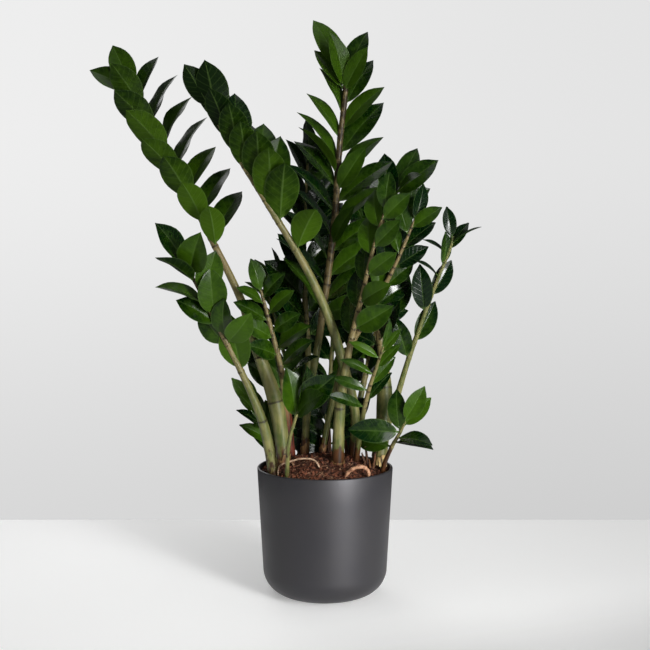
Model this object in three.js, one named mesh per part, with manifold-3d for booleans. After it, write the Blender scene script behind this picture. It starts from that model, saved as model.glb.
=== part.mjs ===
// A potted zz plant: a tapered round pot with a soft lower edge, a mound of soil, surface
// roots, and leafy fronds that each stand in a plain hole of their own in the soil.
// Millimetres, +Z up, -Y is the front, origin at the centre of the pot's flat underside.
import * as THREE from 'three';
import { mergeVertices } from 'three/addons/utils/BufferGeometryUtils.js';
import Module from 'manifold-3d';

const wasm = await Module();
wasm.setup();

// ---- driving dimensions ----
const potHeight = 226;
const rimRadius = 120; // outside, at the rim
const footRadius = 107.6; // where the straight side would meet the floor
const footRound = 45.8; // radius of the lower edge
const wall = 5;
const potFloor = 7;
const rimRound = 1.6;
const potSides = 48;
const roundSteps = { outside: 6, inside: 3 }; // facets of the lower edge

const fit = 0.3; // clearance between a piece and the piece it stands in
const soilEdgeDrop = 9; // soil at the wall, below the rim
const soilMound = 26; // soil in the middle, above the soil at the wall
const soilSides = 32;
const soilRings = 3;

const stemUnderside = 192; // height of every stem's lower end, inside the soil
const stemSides = 6;
const stemExtraRings = 3; // rings of facets beyond one for each stop
const buriedShare = 0.96; // a stem's radius at its lower end, as a share of that at the soil

const bladeThickness = 1.7; // at the midrib
const stalkThickness = 2.6;
const stalkHalfWidth = 2;
const stalkReach = 3; // bare stalk outside the stem
const stalkInStem = 0.7; // where the stem's skin is reckoned, as a share of its radius
const rootOffset = 0.4; // a leaflet's root from the stem's middle, as a share of its radius
const bladeFold = 0.16; // rise of the blade's edge, as a share of its half width
const bladeArch = 0.13; // how far the blade curves along its length
const archFall = 1.8; // how soon the curve turns down again
const fullness = 0.94; // below 1, the widest place lies past the middle of the blade
const bluntness = 0.6; // below 1, both ends of the blade are rounder than a sine
const longBlade = 88; // a blade this long has one more station
const longStations = [0, 0.27, 0.56, 0.83]; // shares of the blade's length
const shortStations = [0, 0.32, 0.7];

const topPair = 0.975; // where the leafy stretch ends, as a share of the route
const tipPlace = 0.99; // where the end leaflet grows
const pairStagger = 0.35; // the right leaflet of a pair sits higher, as a share of the step
const topStep = 0.5; // the step above the top pair, as a share of the others
const stray = { pitch: 6, lift: 11, roll: 14, length: 0.1 }; // degrees, and a share of the length
const clearance = { thickness: 1.2, width: 1.2, length: 2 }; // kept between two fronds

const surfaceRoots = [
  {
    name: 'root_loop', radius: 3.4, steps: 14,
    stops: [[38, -88, 205], [36, -90, 228], [48, -93, 240], [62, -92, 243], [72, -86, 236],
      [76, -78, 205]],
  },
  {
    name: 'root_thin', radius: 1.5, steps: 16,
    stops: [[-80, -62, 205], [-78, -64, 238], [-58, -58, 246], [-38, -56, 250], [-16, -60, 246],
      [-2, -62, 205]],
  },
];
const rootSides = 8;

// Each stop of a frond's route is [x, y, z, radius]. facing is the way its upper side looks.
// Leaflets grow in pairs from the share "bare" of the route. leaf is the leaflet's length
// at the bottom, middle and top of the leafy stretch, and wide its width as a share of that.
// left and right give each rank's [pitch, lift, roll] at its bottom, middle and top, and tip
// the end leaflet's [pitch, roll, length]; angles are in degrees. loose scales how far the
// leaflets stray, and extra lists leaflets that grow outside the ranks.
const fronds = [
  {
    name: 'frond_far_left',
    route: [[-73, -8, 240, 12], [-87, -12, 342, 14], [-125, -10, 451, 9], [-151, -4, 531, 7],
      [-223, 6, 674, 5], [-291, 14, 803, 3.6], [-338, 18, 893, 2.2]],
    facing: [0.1, -1, 0.1], bare: 0.585, pairs: 7, leaf: [92, 98, 88], wide: 0.52,
    left: [[45, 108, 58], [33, 64, 98], [30, 58, 100]],
    right: [[54, -8, 36], [54, -8, 60], [44, -4, 54]], tip: [-4, 2, 84], loose: 0.4,
    extra: [{ side: -1, u: 0.98, pitch: 32, lift: 4, roll: 20, length: 84 }],
  },
  {
    name: 'frond_low_left',
    route: [[-89, -50, 226, 10], [-105, -66, 310, 8.5], [-131, -82, 381, 6], [-171, -102, 468, 4.5],
      [-205, -120, 539, 3.2], [-228, -132, 587, 2]],
    facing: [0.3, -1, 0.2], bare: 0.64, pairs: 4, leaf: [74, 78, 84], wide: 0.62,
    left: [[20, -66, 20], [40, 20, 60], [34, 40, 64]],
    right: [[22, 50, -10], [34, 52, -16], [48, 46, -24]], tip: [4, 30, 82], loose: 1.2,
    extra: [{ side: 1, u: 0.52, pitch: 12, lift: 30, roll: 10, length: 90 },
      { side: 1, u: 0.65, pitch: 64, lift: 40, roll: -20, length: 70 }],
  },
  {
    name: 'frond_tall_left',
    route: [[49, 24, 236, 8], [54, 18, 314, 8.5], [36, 8, 393, 9], [8, -10, 486, 8],
      [-32, -28, 576, 7], [-102, -44, 693, 5], [-163, -54, 791, 3.6], [-198, -58, 855, 2.2]],
    facing: [0.8, -0.15, 0.5], bare: 0.68, pairs: 7, leaf: [98, 98, 94], wide: 0.56,
    left: [[40, 62, 28], [32, 62, 28], [20, 60, 28]],
    right: [[46, 52, 10], [42, 52, 10], [28, 50, 0]], tip: [6, 92, 76], loose: 0.4,
    extra: [{ side: -1, u: 0.605, pitch: 58, lift: 62, roll: 28, length: 90 }],
  },
  {
    name: 'frond_centre',
    route: [[-37, 46, 238, 7], [-30, 46, 337, 7], [-10, 44, 455, 6.5], [15, 44, 643, 6],
      [26, 46, 794, 5.4], [36, 50, 887, 4.6], [33, 52, 933, 2.8]],
    facing: [0, -1, 0.1], bare: 0.42, pairs: 10, leaf: [102, 114, 84], wide: 0.44,
    left: [[44, 8, 84], [42, 6, 60], [30, 4, 40]],
    right: [[46, 10, 36], [39, 8, 36], [24, 6, 14]], tip: [22, 14, 100], loose: 1,
    extra: [{ side: 1, u: 0.575, pitch: 34, lift: 60, roll: -16, length: 78 },
      { side: 1, u: 0.4, pitch: 60, lift: 40, roll: -10, length: 88 },
      { side: -1, u: 0.95, pitch: 24, lift: 62, roll: -24, length: 92 },
      { side: 1, u: 0.94, pitch: 34, lift: 48, roll: -24, length: 80 },
      { side: -1, u: 0.745, pitch: 43, lift: 34, roll: 84, length: 104 },
      { side: 1, u: 0.704, pitch: 36, lift: 42, roll: -20, length: 86 }],
  },
  {
    name: 'frond_dark_back',
    route: [[-27, 84, 234, 6], [-31, 96, 405, 6], [-38, 104, 533, 5], [-38, 108, 662, 4],
      [-32, 110, 768, 2.2]],
    facing: [0.5, -0.8, 0.2], bare: 0.42, pairs: 8, leaf: [90, 92, 80], wide: 0.58,
    left: [[54, 16, 12], [44, 16, 12], [34, 16, 12]],
    right: [[50, 14, 20], [42, 14, 16], [34, 14, 10]], tip: [0, 20, 78], loose: 1.6,
  },
  {
    name: 'frond_slim_right',
    route: [[-5, 50, 236, 5.5], [10, 48, 319, 5.5], [37, 40, 416, 5], [95, 22, 525, 4.2],
      [126, 10, 587, 3.2], [148, 4, 639, 2.4], [158, 2, 664, 1.8]],
    facing: [-0.1, -1, 0.2], bare: 0.56, pairs: 6, leaf: [70, 66, 62], wide: 0.5,
    left: [[44, -30, 20], [36, -10, 30], [34, 6, 34]],
    right: [[40, -30, 30], [24, -20, 40], [30, 4, 20]], tip: [4, 40, 62], loose: 1.2,
  },
  {
    name: 'frond_front_centre',
    route: [[22, -36, 234, 11.5], [27, -46, 350, 9], [43, -58, 447, 5.5], [63, -72, 533, 4],
      [76, -80, 592, 3.2], [91, -86, 646, 2.6], [102, -90, 679, 2]],
    facing: [0.1, -1, 0.15], bare: 0.54, pairs: 5, leaf: [74, 68, 62], wide: 0.54,
    left: [[24, -66, 10], [30, -60, 10], [34, -40, 10]],
    right: [[46, 50, -24], [46, 56, -24], [30, 40, -20]], tip: [14, -20, 60], loose: 1,
  },
  {
    name: 'frond_thick_right',
    route: [[97, 2, 226, 11.5], [106, 14, 342, 14.5], [102, 26, 421, 8], [94, 40, 486, 7],
      [87, 56, 563, 5.5], [103, 64, 647, 4], [132, 66, 719, 2.4]],
    facing: [-0.4, -0.9, 0.2], bare: 0.46, pairs: 10, leaf: [92, 96, 84], wide: 0.5,
    left: [[50, 10, 10], [44, 10, 10], [28, 10, 10]],
    right: [[44, 14, 0], [38, 20, -10], [46, 10, 6]], tip: [-2, 10, 80], loose: 1.1,
    extra: [{ side: 1, u: 0.98, pitch: 30, lift: 6, roll: -6, length: 90 }],
  },
  {
    name: 'frond_far_right',
    route: [[93, 46, 228, 6], [125, 40, 329, 6], [151, 28, 419, 4.6], [191, 8, 538, 3.4],
      [217, -6, 608, 2.6], [223, -10, 632, 1.9]],
    facing: [-0.1, -1, 0.1], bare: 0.5, pairs: 3, leaf: [78, 74, 58], wide: 0.46,
    left: [[40, 20, -16], [22, 24, -10], [16, 24, 10]],
    right: [[12, -44, 40], [12, -44, 40], [16, -40, 60]], tip: [20, 10, 52], loose: 0.6,
    extra: [{ side: 1, u: 0.97, pitch: 38, lift: 10, roll: 84, length: 56 },
      { side: -1, u: 0.93, pitch: 74, lift: 10, roll: 80, length: 44 },
      { side: -1, u: 0.84, pitch: 70, lift: 10, roll: 80, length: 46 }],
  },
  {
    name: 'frond_slim_front',
    route: [[55, -14, 235, 5.5], [63, -34, 305, 4.5], [74, -58, 366, 3.6], [89, -76, 416, 2.8],
      [98, -88, 447, 1.9]],
    facing: [0.1, -1, 0.2], bare: 0.56, pairs: 4, leaf: [66, 62, 50], wide: 0.34,
    left: [[72, 6, 56], [78, 6, 52], [72, 6, 50]],
    right: [[34, -30, 60], [30, -30, 60], [20, -10, 40]], tip: [0, 40, 50], loose: 0.8,
  },
  {
    name: 'shoot_low_right',
    route: [[101, -34, 227, 4.2], [114, -47, 266, 3.6], [128, -58, 294, 2.8], [138, -62, 316, 1.9]],
    facing: [0, -0.9, 0.4], bare: 0.6, pairs: 2, leaf: [70, 70, 62], wide: 0.5,
    left: [[112, -20, 30], [60, 10, 10], [36, -10, 10]],
    right: [[54, 20, 70], [40, 0, 10], [16, 4, 10]], tip: [-4, 10, 66], loose: 0.4,
    extra: [{ side: -1, u: 0.84, pitch: 110, lift: 24, roll: 24, length: 84 },
      { side: 1, u: 0.76, pitch: 54, lift: 24, roll: 60, length: 66 }],
  },
  {
    name: 'shoot_low_left',
    route: [[-80, 28, 236, 4.5], [-99, 18, 278, 3.8], [-115, 10, 308, 3], [-127, 4, 331, 1.9]],
    facing: [0.2, -1, 0.2], bare: 0.3, pairs: 4, leaf: [62, 66, 58], wide: 0.42,
    left: [[30, 10, 24], [20, 16, 10], [12, 20, 90]],
    right: [[16, -10, 30], [16, -14, 20], [10, -10, 20]], tip: [4, 10, 62], loose: 0.8,
  },
  {
    name: 'shoot_front_left',
    route: [[-65, -78, 223, 4], [-61, -94, 282, 3.4], [-51, -102, 322, 2.8], [-41, -108, 356, 1.9]],
    facing: [0, -1, 0.3], bare: 0.84, pairs: 2, leaf: [76, 74, 60], wide: 0.56,
    left: [[24, 30, 10], [14, 10, 60], [0, 20, 60]],
    right: [[30, 34, 0], [30, 12, 0], [40, 10, 30]], tip: [0, 60, 60], loose: 0.4,
    extra: [{ side: 1, u: 0.95, pitch: 34, lift: 40, roll: -20, length: 88 }],
  },
  {
    name: 'frond_left_centre',
    route: [[-62, 38, 238, 8], [-71, 28, 331, 7], [-79, 12, 403, 5], [-99, -4, 486, 4],
      [-112, -14, 539, 2.2]],
    facing: [0.2, -1, 0.15], bare: 0.48, pairs: 6, leaf: [78, 66, 56], wide: 0.54,
    left: [[46, 6, 20], [50, 6, 20], [44, 6, 30]],
    right: [[50, 26, 70], [60, 30, 40], [58, 30, 30]], tip: [0, 10, 56], loose: 1.3,
  },
  {
    name: 'frond_back_left',
    route: [[-64, 76, 230, 5], [-82, 88, 368, 4.6], [-89, 94, 460, 3.8], [-89, 98, 543, 2.2]],
    facing: [0.8, -0.6, 0.2], bare: 0.42, pairs: 6, leaf: [80, 80, 68], wide: 0.52,
    left: [[50, 14, 10], [42, 14, 10], [34, 14, 10]],
    right: [[50, 14, 10], [42, 14, 10], [34, 14, 10]], tip: [0, 10, 68], loose: 1.4,
  },
  {
    name: 'frond_back_right',
    route: [[46, 84, 231, 6], [70, 116, 350, 5.6], [100, 144, 470, 4.6], [124, 164, 590, 2.4]],
    facing: [-0.7, -0.4, 0.6], bare: 0.42, pairs: 6, leaf: [84, 84, 68], wide: 0.52,
    left: [[50, 14, 6], [43, 14, 6], [36, 14, 6]],
    right: [[50, 14, 6], [43, 14, 6], [36, 14, 6]], tip: [0, 10, 68], loose: 1.4,
  },
  {
    name: 'frond_back_slim',
    route: [[4, 98, 228, 4.6], [10, 136, 360, 4.4], [18, 172, 480, 3.8], [30, 200, 600, 2.2]],
    facing: [-0.3, -0.8, 0.5], bare: 0.4, pairs: 6, leaf: [82, 84, 66], wide: 0.52,
    left: [[52, 14, 6], [44, 14, 6], [36, 14, 6]],
    right: [[52, 14, 6], [44, 14, 6], [36, 14, 6]], tip: [0, 10, 66], loose: 1.4,
  },
  {
    name: 'frond_back_pale',
    route: [[-42, 96, 228, 4.4], [-58, 128, 340, 4.2], [-86, 158, 440, 3.4], [-112, 178, 530, 2.2]],
    facing: [0.6, -0.6, 0.6], bare: 0.44, pairs: 5, leaf: [78, 80, 64], wide: 0.52,
    left: [[50, 14, 8], [43, 14, 8], [36, 14, 8]],
    right: [[50, 14, 8], [43, 14, 8], [36, 14, 8]], tip: [0, 10, 64], loose: 1.4,
  },
  {
    name: 'shoot_low_back',
    route: [[8, 72, 236, 4], [6, 73, 268, 3.4], [3, 74, 294, 2.8], [0, 74, 312, 1.9]],
    facing: [0, -1, 0.3], bare: 0.42, pairs: 3, leaf: [86, 86, 80], wide: 0.56,
    left: [[74, 6, 6], [50, 6, 6], [24, 6, 6]],
    right: [[72, 6, 6], [56, 6, 6], [28, 6, 6]], tip: [0, 6, 76], loose: 0.8,
  },
];
// A leaflet that would meet another frond takes the first of these swings that is clear:
// changes of pitch, lift and roll in degrees, and a share of its length.
const swings = [
  [0, 0, 0, 1], [0, 14, 0, 1], [0, -14, 0, 1], [-12, 0, 0, 1], [12, 0, 0, 1], [0, 28, 0, 1],
  [0, -28, 0, 1], [-12, 18, 15, 1], [-12, -18, -15, 1], [-22, 0, 20, 1], [14, 24, 0, 1],
  [14, -24, 0, 1], [0, 42, 10, 0.95], [0, -42, -10, 0.95], [-20, 32, 20, 0.95],
  [-20, -32, -20, 0.95], [-10, 55, 0, 0.9], [-10, -55, 0, 0.9], [0, 0, 40, 0.85],
  [0, 0, -40, 0.85], [-24, 20, 40, 0.8], [-24, -20, -40, 0.8], [-26, 70, 0, 0.8],
  [-26, -70, 0, 0.8], [-10, 30, 30, 0.7], [-10, -30, -30, 0.7], [-24, 0, 0, 0.6],
];
const colours = { pot: 0x4c4b4b, soil: 0x4a3024, leaf: 0x2b4a24, root: 0x9a7a55 };
const roughness = { pot: 0.45, soil: 1, leaf: 0.3, root: 0.7 };
const keysApart = 100; // from the first wobble key of a frond to that of the next
const weld = 1e-3; // points this near each other are one point

// ---- small helpers ----
const rad = THREE.MathUtils.degToRad;
const mix = THREE.MathUtils.lerp;
const vec = (x, y, z) => new THREE.Vector3(x, y, z);

// A repeatable number from -1 to 1 for a key.
function wobble(key) {
  const wave = Math.sin(key * 12.9898) * 43758.5453;
  return (wave - Math.floor(wave)) * 2 - 1;
}

function signedVolume(points, faces) {
  return faces.reduce((sum, [a, b, c]) => {
    const [p, q, r] = [points[a], points[b], points[c]];
    return sum + (p[0] * (q[1] * r[2] - q[2] * r[1]) + p[1] * (q[2] * r[0] - q[0] * r[2])
      + p[2] * (q[0] * r[1] - q[1] * r[0])) / 6;
  }, 0);
}

// A solid from points and triangles that close on themselves, its faces turned out.
function closedSolid(points, faces) {
  const outward = signedVolume(points, faces) < 0 ? faces.map(([a, b, c]) => [a, c, b]) : faces;
  const vertProperties = new Float32Array(points.flat());
  const triVerts = new Uint32Array(outward.flat());
  return new wasm.Manifold(new wasm.Mesh({ numProp: 3, vertProperties, triVerts }));
}

// A solid from a closed geometry, its doubled points merged and its empty faces left out.
function solidFromGeometry(geometry) {
  geometry.deleteAttribute('normal');
  geometry.deleteAttribute('uv');
  const merged = mergeVertices(geometry, weld);
  const spots = merged.attributes.position;
  const points = [...Array(spots.count).keys()]
    .map((i) => [spots.getX(i), spots.getY(i), spots.getZ(i)]);
  const index = [...merged.index.array];
  const faces = [];
  for (let i = 0; i < index.length; i += 3) {
    const corners = index.slice(i, i + 3);
    if (new Set(corners).size === 3) faces.push(corners);
  }
  return closedSolid(points, faces);
}

// Turns an outline of [radius, height] about the upright axis into a closed solid.
function turned(outline, sides) {
  const lathe = new THREE.LatheGeometry(outline.map(([r, z]) => new THREE.Vector2(r, z)), sides);
  return solidFromGeometry(lathe.rotateX(Math.PI / 2));
}

function meshOf(name, solid, matter) {
  const { vertProperties, triVerts } = solid.getMesh();
  const geometry = new THREE.BufferGeometry();
  geometry.setAttribute('position', new THREE.BufferAttribute(vertProperties, 3));
  geometry.setIndex(new THREE.BufferAttribute(triVerts, 1));
  geometry.computeVertexNormals();
  const material = new THREE.MeshStandardMaterial({
    color: colours[matter], roughness: roughness[matter], metalness: 0,
  });
  const mesh = new THREE.Mesh(geometry, material);
  mesh.name = name;
  return mesh;
}

// ---- pot and soil ----
// Half section of a cup whose side leans out from a rounded foot, drawn "inset" inside the
// pot's outer skin, from the axis to the height "top".
function cupOutline(inset, bottom, top, steps) {
  const lean = Math.atan2(rimRadius - footRadius, potHeight);
  const centreRadius = footRadius - footRound * (1 - Math.sin(lean)) / Math.cos(lean);
  const radius = footRound - inset;
  const drop = footRound - bottom;
  const start = drop < radius ? -Math.asin(drop / radius) : -Math.PI / 2;
  const outline = [[0, bottom]];
  for (let i = 0; i <= steps; i++) {
    const angle = mix(start, -lean, i / steps);
    outline.push([centreRadius + radius * Math.cos(angle), footRound + radius * Math.sin(angle)]);
  }
  const sideRadius = rimRadius - inset / Math.cos(lean) - (potHeight - top) * Math.tan(lean);
  outline.push([sideRadius, top]);
  return outline;
}

function potSolid() {
  const shoulder = potHeight - rimRound;
  const outside = cupOutline(0, 0, shoulder, roundSteps.outside);
  const inside = cupOutline(wall, potFloor, shoulder, roundSteps.inside).reverse();
  const eased = rimRound * (1 - Math.SQRT1_2); // the middle of a rounded corner, from its sides
  const rim = [[rimRadius - eased, potHeight - eased],
    [rimRadius - rimRound, potHeight], [rimRadius - wall + rimRound, potHeight],
    [rimRadius - wall + eased, potHeight - eased]];
  return turned([...outside, ...rim, ...inside], potSides);
}

const soilEdgeZ = potHeight - soilEdgeDrop;
const soilEdgeRadius = cupOutline(wall + fit, potFloor, soilEdgeZ, roundSteps.inside).at(-1)[0];

function soilHeight(radius) {
  return soilEdgeZ + soilMound * (1 - (radius / soilEdgeRadius) ** 2);
}

function soilSolid() {
  const below = cupOutline(wall + fit, potFloor + fit, soilEdgeZ, roundSteps.inside);
  const above = [...Array(soilRings).keys()].map((i) => {
    const radius = soilEdgeRadius * (1 - (i + 1) / soilRings);
    return [radius, soilHeight(radius)];
  });
  return turned([...below, ...above], soilSides);
}

// ---- fronds ----
// The route of a stem: straight up from its underside in the soil, then its stops.
function stemOf(frond, index) {
  const [x, y, , radius] = frond.route[0];
  const stops = [[x, y, stemUnderside, radius * buriedShare], ...frond.route];
  const curve = new THREE.CatmullRomCurve3(
    stops.map(([px, py, pz]) => vec(px, py, pz)), false, 'catmullrom');
  const radiusAt = (u) => {
    const place = curve.getUtoTmapping(u) * (stops.length - 1);
    const i = Math.min(Math.floor(place), stops.length - 2);
    return mix(stops[i][3], stops[i + 1][3], place - i);
  };
  const frameAt = (u) => {
    const along = curve.getTangentAt(u);
    const face = vec(...frond.facing);
    face.addScaledVector(along, -face.dot(along)).normalize();
    return { centre: curve.getPointAt(u), along, face, across: along.clone().cross(face) };
  };
  const rings = stops.length + stemExtraRings;
  const chordAt = (u) => { // the middle of the faceted tube, where leaflets take root
    const i = Math.min(Math.floor(u * rings), rings - 1);
    return curve.getPointAt(i / rings).lerp(curve.getPointAt((i + 1) / rings), u * rings - i);
  };
  return { frond, index, radiusAt, frameAt, chordAt, rings };
}

// A tapering tube along the stem, wider by "grow" and longer by it at both ends.
function tube(stem, grow) {
  const points = [];
  const faces = [];
  for (let i = 0; i <= stem.rings; i++) {
    const u = i / stem.rings;
    const { centre, along, face, across } = stem.frameAt(u);
    const ends = i === 0 ? -grow : i === stem.rings ? grow : 0;
    for (let k = 0; k < stemSides; k++) {
      const turn = 2 * Math.PI * k / stemSides;
      const radius = stem.radiusAt(u) + grow;
      points.push(centre.clone().addScaledVector(face, radius * Math.cos(turn))
        .addScaledVector(across, radius * Math.sin(turn)).addScaledVector(along, ends).toArray());
    }
  }
  for (let i = 0; i < stem.rings; i++) {
    for (let k = 0; k < stemSides; k++) {
      const [a, b] = [i * stemSides + k, i * stemSides + (k + 1) % stemSides];
      faces.push([a, b, b + stemSides], [a, b + stemSides, a + stemSides]);
    }
  }
  const last = stem.rings * stemSides;
  for (let k = 1; k < stemSides - 1; k++) {
    faces.push([0, k + 1, k], [last, last + k, last + k + 1]);
  }
  return closedSolid(points, faces);
}

// A value at share a of the leafy stretch, through those at its bottom, middle and top.
function through([low, middle, high], a) {
  return a < 0.5 ? mix(low, middle, a * 2) : mix(middle, high, a * 2 - 1);
}

// Half width of a blade at share t of its length, as a share of its greatest half width.
function bladeOutline(t) {
  return Math.sin(Math.PI * t ** fullness) ** bluntness;
}

// Every leaflet of a frond, with the angles it has before it is swung clear.
function leafletsOf(stem) {
  const { frond, index } = stem;
  const list = [...(frond.extra ?? [])];
  for (let k = 0; k < frond.pairs; k++) {
    for (const side of [-1, 1]) {
      const key = index * keysApart + 2 * k + (side > 0 ? 1 : 0);
      const a = k / (frond.pairs - 1);
      const rank = side < 0 ? frond.left : frond.right;
      const [pitch, lift, roll] = [0, 1, 2].map((i) => through(rank.map((stop) => stop[i]), a));
      const step = (k + (side > 0 ? pairStagger : 0)) / (frond.pairs - 1 + topStep);
      list.push({
        side, u: mix(frond.bare, topPair, step),
        pitch: pitch + stray.pitch * frond.loose * wobble(key),
        lift: lift + stray.lift * frond.loose * wobble(key + 0.3),
        roll: roll + stray.roll * frond.loose * wobble(key + 0.6),
        length: through(frond.leaf, a) * (1 + stray.length * wobble(key + 0.8)),
      });
    }
  }
  const [pitch, roll, length] = frond.tip;
  list.push({ side: -1, u: tipPlace, pitch, lift: 0, roll, length });
  return list;
}

// Where a leaflet starts and how it lies, after a swing.
function poseOf(stem, leaflet, [pitchBy, liftBy, rollBy, share]) {
  const { along, face, across } = stem.frameAt(leaflet.u);
  const radius = stem.radiusAt(leaflet.u);
  const pitch = rad(leaflet.pitch + pitchBy);
  const lift = rad(leaflet.lift + liftBy);
  const roll = rad(leaflet.roll + rollBy);
  const outward = across.clone().multiplyScalar(leaflet.side * Math.cos(lift))
    .addScaledVector(face, Math.sin(lift));
  const ahead = along.clone().multiplyScalar(Math.cos(pitch))
    .addScaledVector(outward, Math.sin(pitch));
  const flat = across.clone().multiplyScalar(-leaflet.side * Math.sin(lift))
    .addScaledVector(face, Math.cos(lift));
  const upper = flat.clone().multiplyScalar(Math.cos(roll))
    .addScaledVector(ahead.clone().cross(flat), -leaflet.side * Math.sin(roll));
  const length = leaflet.length * share;
  return {
    root: stem.chordAt(leaflet.u).addScaledVector(outward, radius * rootOffset),
    stalk: radius * stalkInStem + stalkReach,
    ahead, upper, sideways: ahead.clone().cross(upper), length, width: length * stem.frond.wide,
  };
}

// A blade of lens section on its stalk. Its root is a point inside the stem. The two
// faces share the edge's points, and grow thicker, wider and longer by "extra".
function blade(pose, extra = { thickness: 0, width: 0, length: 0 }) {
  const { root, ahead, upper, sideways, stalk, length, width } = pose;
  const spot = (t, v, rise) => {
    const half = v * (Math.max(bladeOutline(t) * width / 2, stalkHalfWidth) + extra.width);
    const arch = bladeArch * length * t * (1 - archFall * t);
    return root.clone().addScaledVector(ahead, stalk + length * t)
      .addScaledVector(upper, arch + rise + bladeFold * Math.abs(half))
      .addScaledVector(sideways, half).toArray();
  };
  const points = [root.toArray()];
  const faces = [];
  const stations = length < longBlade ? shortStations : longStations;
  for (const t of stations) {
    const rise = (t === 0 ? stalkThickness : bladeThickness) / 2 + extra.thickness;
    points.push(spot(t, -1, 0), spot(t, 0, rise), spot(t, 1, 0), spot(t, 0, -rise));
  }
  const tip = points.length;
  const end = root.clone().addScaledVector(ahead, stalk + length + extra.length)
    .addScaledVector(upper, bladeArch * length * (1 - archFall));
  points.push(end.toArray());
  for (let k = 0; k < 4; k++) {
    const next = (k + 1) % 4;
    faces.push([0, 1 + k, 1 + next], [tip, tip - 4 + next, tip - 4 + k]);
    for (let i = 0; i < stations.length - 1; i++) {
      const [a, b] = [1 + 4 * i + k, 1 + 4 * i + next];
      const alike = k % 2 ? [[a, a + 4, b], [b, a + 4, b + 4]] : [[a, b + 4, b], [a, a + 4, b + 4]];
      faces.push(...alike);
    }
  }
  return closedSolid(points, faces);
}

// ---- surface roots ----
function rootSolid(stops, radius, steps) {
  const curve = new THREE.CatmullRomCurve3(stops.map(([x, y, z]) => vec(x, y, z)));
  const section = new THREE.Shape();
  for (let k = 0; k < rootSides; k++) {
    const turn = 2 * Math.PI * k / rootSides;
    section[k ? 'lineTo' : 'moveTo'](radius * Math.cos(turn), radius * Math.sin(turn));
  }
  section.closePath();
  return solidFromGeometry(new THREE.ExtrudeGeometry(section, { steps, extrudePath: curve }));
}

// ---- assembly ----
const overlaps = (a, b) => {
  const shared = a.intersect(b);
  const touching = !shared.isEmpty();
  shared.delete();
  return touching;
};

const boxesMeet = (a, b) => [0, 1, 2].every((i) => a.min[i] <= b.max[i] && b.min[i] <= a.max[i]);

// True where a solid meets none of the placed ones that "counts" picks.
function isClear(solid, counts) {
  const box = solid.boundingBox();
  return placed.every((other) => !counts(other) || !boxesMeet(box, other.box)
    || !overlaps(solid, other.solid));
}

const stems = fronds.map(stemOf);
const placed = [];

// Keeps a solid in the list of those that later leaflets stay clear of.
function place(owner, solid, leaflet = false) {
  placed.push({ owner, solid, leaflet, box: solid.boundingBox() });
}

function growFrond(stem) {
  const { name } = stem.frond;
  const elsewhere = (other) => other.owner !== name;
  const sister = (other) => other.owner === name && other.leaflet;
  let body = tube(stem, 0);
  for (const leaflet of leafletsOf(stem)) {
    const clear = swings.filter((by) => {
      const guard = blade(poseOf(stem, leaflet, by), clearance);
      return isClear(guard, elsewhere);
    });
    const swing = clear.find((by) => isClear(blade(poseOf(stem, leaflet, by)), sister)) ?? clear[0];
    if (!swing) continue;
    const solid = blade(poseOf(stem, leaflet, swing));
    place(name, solid, true);
    body = body.add(solid);
  }
  return body;
}

const group = new THREE.Group();
const potBody = potSolid();
let soilBody = soilSolid();
place('pot', potBody);
place('soil', soilBody);
for (const stem of stems) {
  place(stem.frond.name, tube(stem, 0));
  soilBody = soilBody.subtract(tube(stem, fit));
}
for (const { name, radius, steps, stops } of surfaceRoots) {
  soilBody = soilBody.subtract(rootSolid(stops, radius + fit, steps));
  group.add(meshOf(name, rootSolid(stops, radius, steps), 'root'));
}
group.add(meshOf('pot', potBody, 'pot'));
group.add(meshOf('soil', soilBody, 'soil'));
for (const stem of stems) {
  group.add(meshOf(stem.frond.name, growFrond(stem), 'leaf'));
}

export default group;
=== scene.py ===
"""Dresses the potted zz plant for its picture: pot, soil, surface roots, leafy fronds and stage.

Every piece stands where its packed solid stands. Sizes in the tables are millimetres and
degrees; the finished meshes are in metres. +Z is up and -Y is the front."""
import math
from collections import namedtuple
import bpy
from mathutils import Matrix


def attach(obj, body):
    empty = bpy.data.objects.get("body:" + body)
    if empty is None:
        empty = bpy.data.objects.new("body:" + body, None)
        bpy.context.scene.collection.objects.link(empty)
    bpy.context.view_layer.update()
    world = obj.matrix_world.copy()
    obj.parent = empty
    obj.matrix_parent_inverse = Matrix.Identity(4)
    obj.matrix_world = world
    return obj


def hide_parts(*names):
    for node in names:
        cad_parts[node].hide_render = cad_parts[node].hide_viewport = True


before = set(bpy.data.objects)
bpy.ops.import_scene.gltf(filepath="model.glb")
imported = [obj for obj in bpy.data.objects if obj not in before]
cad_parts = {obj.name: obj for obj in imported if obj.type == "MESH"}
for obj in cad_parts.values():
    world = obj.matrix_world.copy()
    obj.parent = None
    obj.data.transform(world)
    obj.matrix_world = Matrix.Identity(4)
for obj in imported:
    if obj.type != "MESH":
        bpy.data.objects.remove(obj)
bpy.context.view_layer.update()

from types import SimpleNamespace

import bpy
import numpy as np
from mathutils import Matrix, Vector
from mathutils.kdtree import KDTree

bl_info = {
    "name": "Potted zz plant",
    "version": (1, 0, 0),
    "blender": (4, 5, 0),
    "location": "View3D > Sidebar > ZZ plant",
    "description": "Makes the pot, soil, roots and fronds of a potted zz plant",
    "category": "Object",
}

MM = 0.001
FULL_TURN = 2 * math.pi

# ---- sizes shared with the solids ----
# The pot's height, its radius at the rim and at the foot, the radius of its soft lower edge,
# its wall and its floor.
POT = {"height": 226, "rim": 120, "foot": 107.6, "round": 45.8, "wall": 5, "floor": 7}
# How far the bed's edge lies below the rim, how high it mounds, and its gap to the pot.
SOIL = {"drop": 9, "mound": 26, "gap": 0.3}
# Height of every stem's underside, its radius there as a share of the first stop's, and how
# many more rings than stops its solid has.
STEM = {"depth": 192, "foot": 0.96, "rings": 3}
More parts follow.
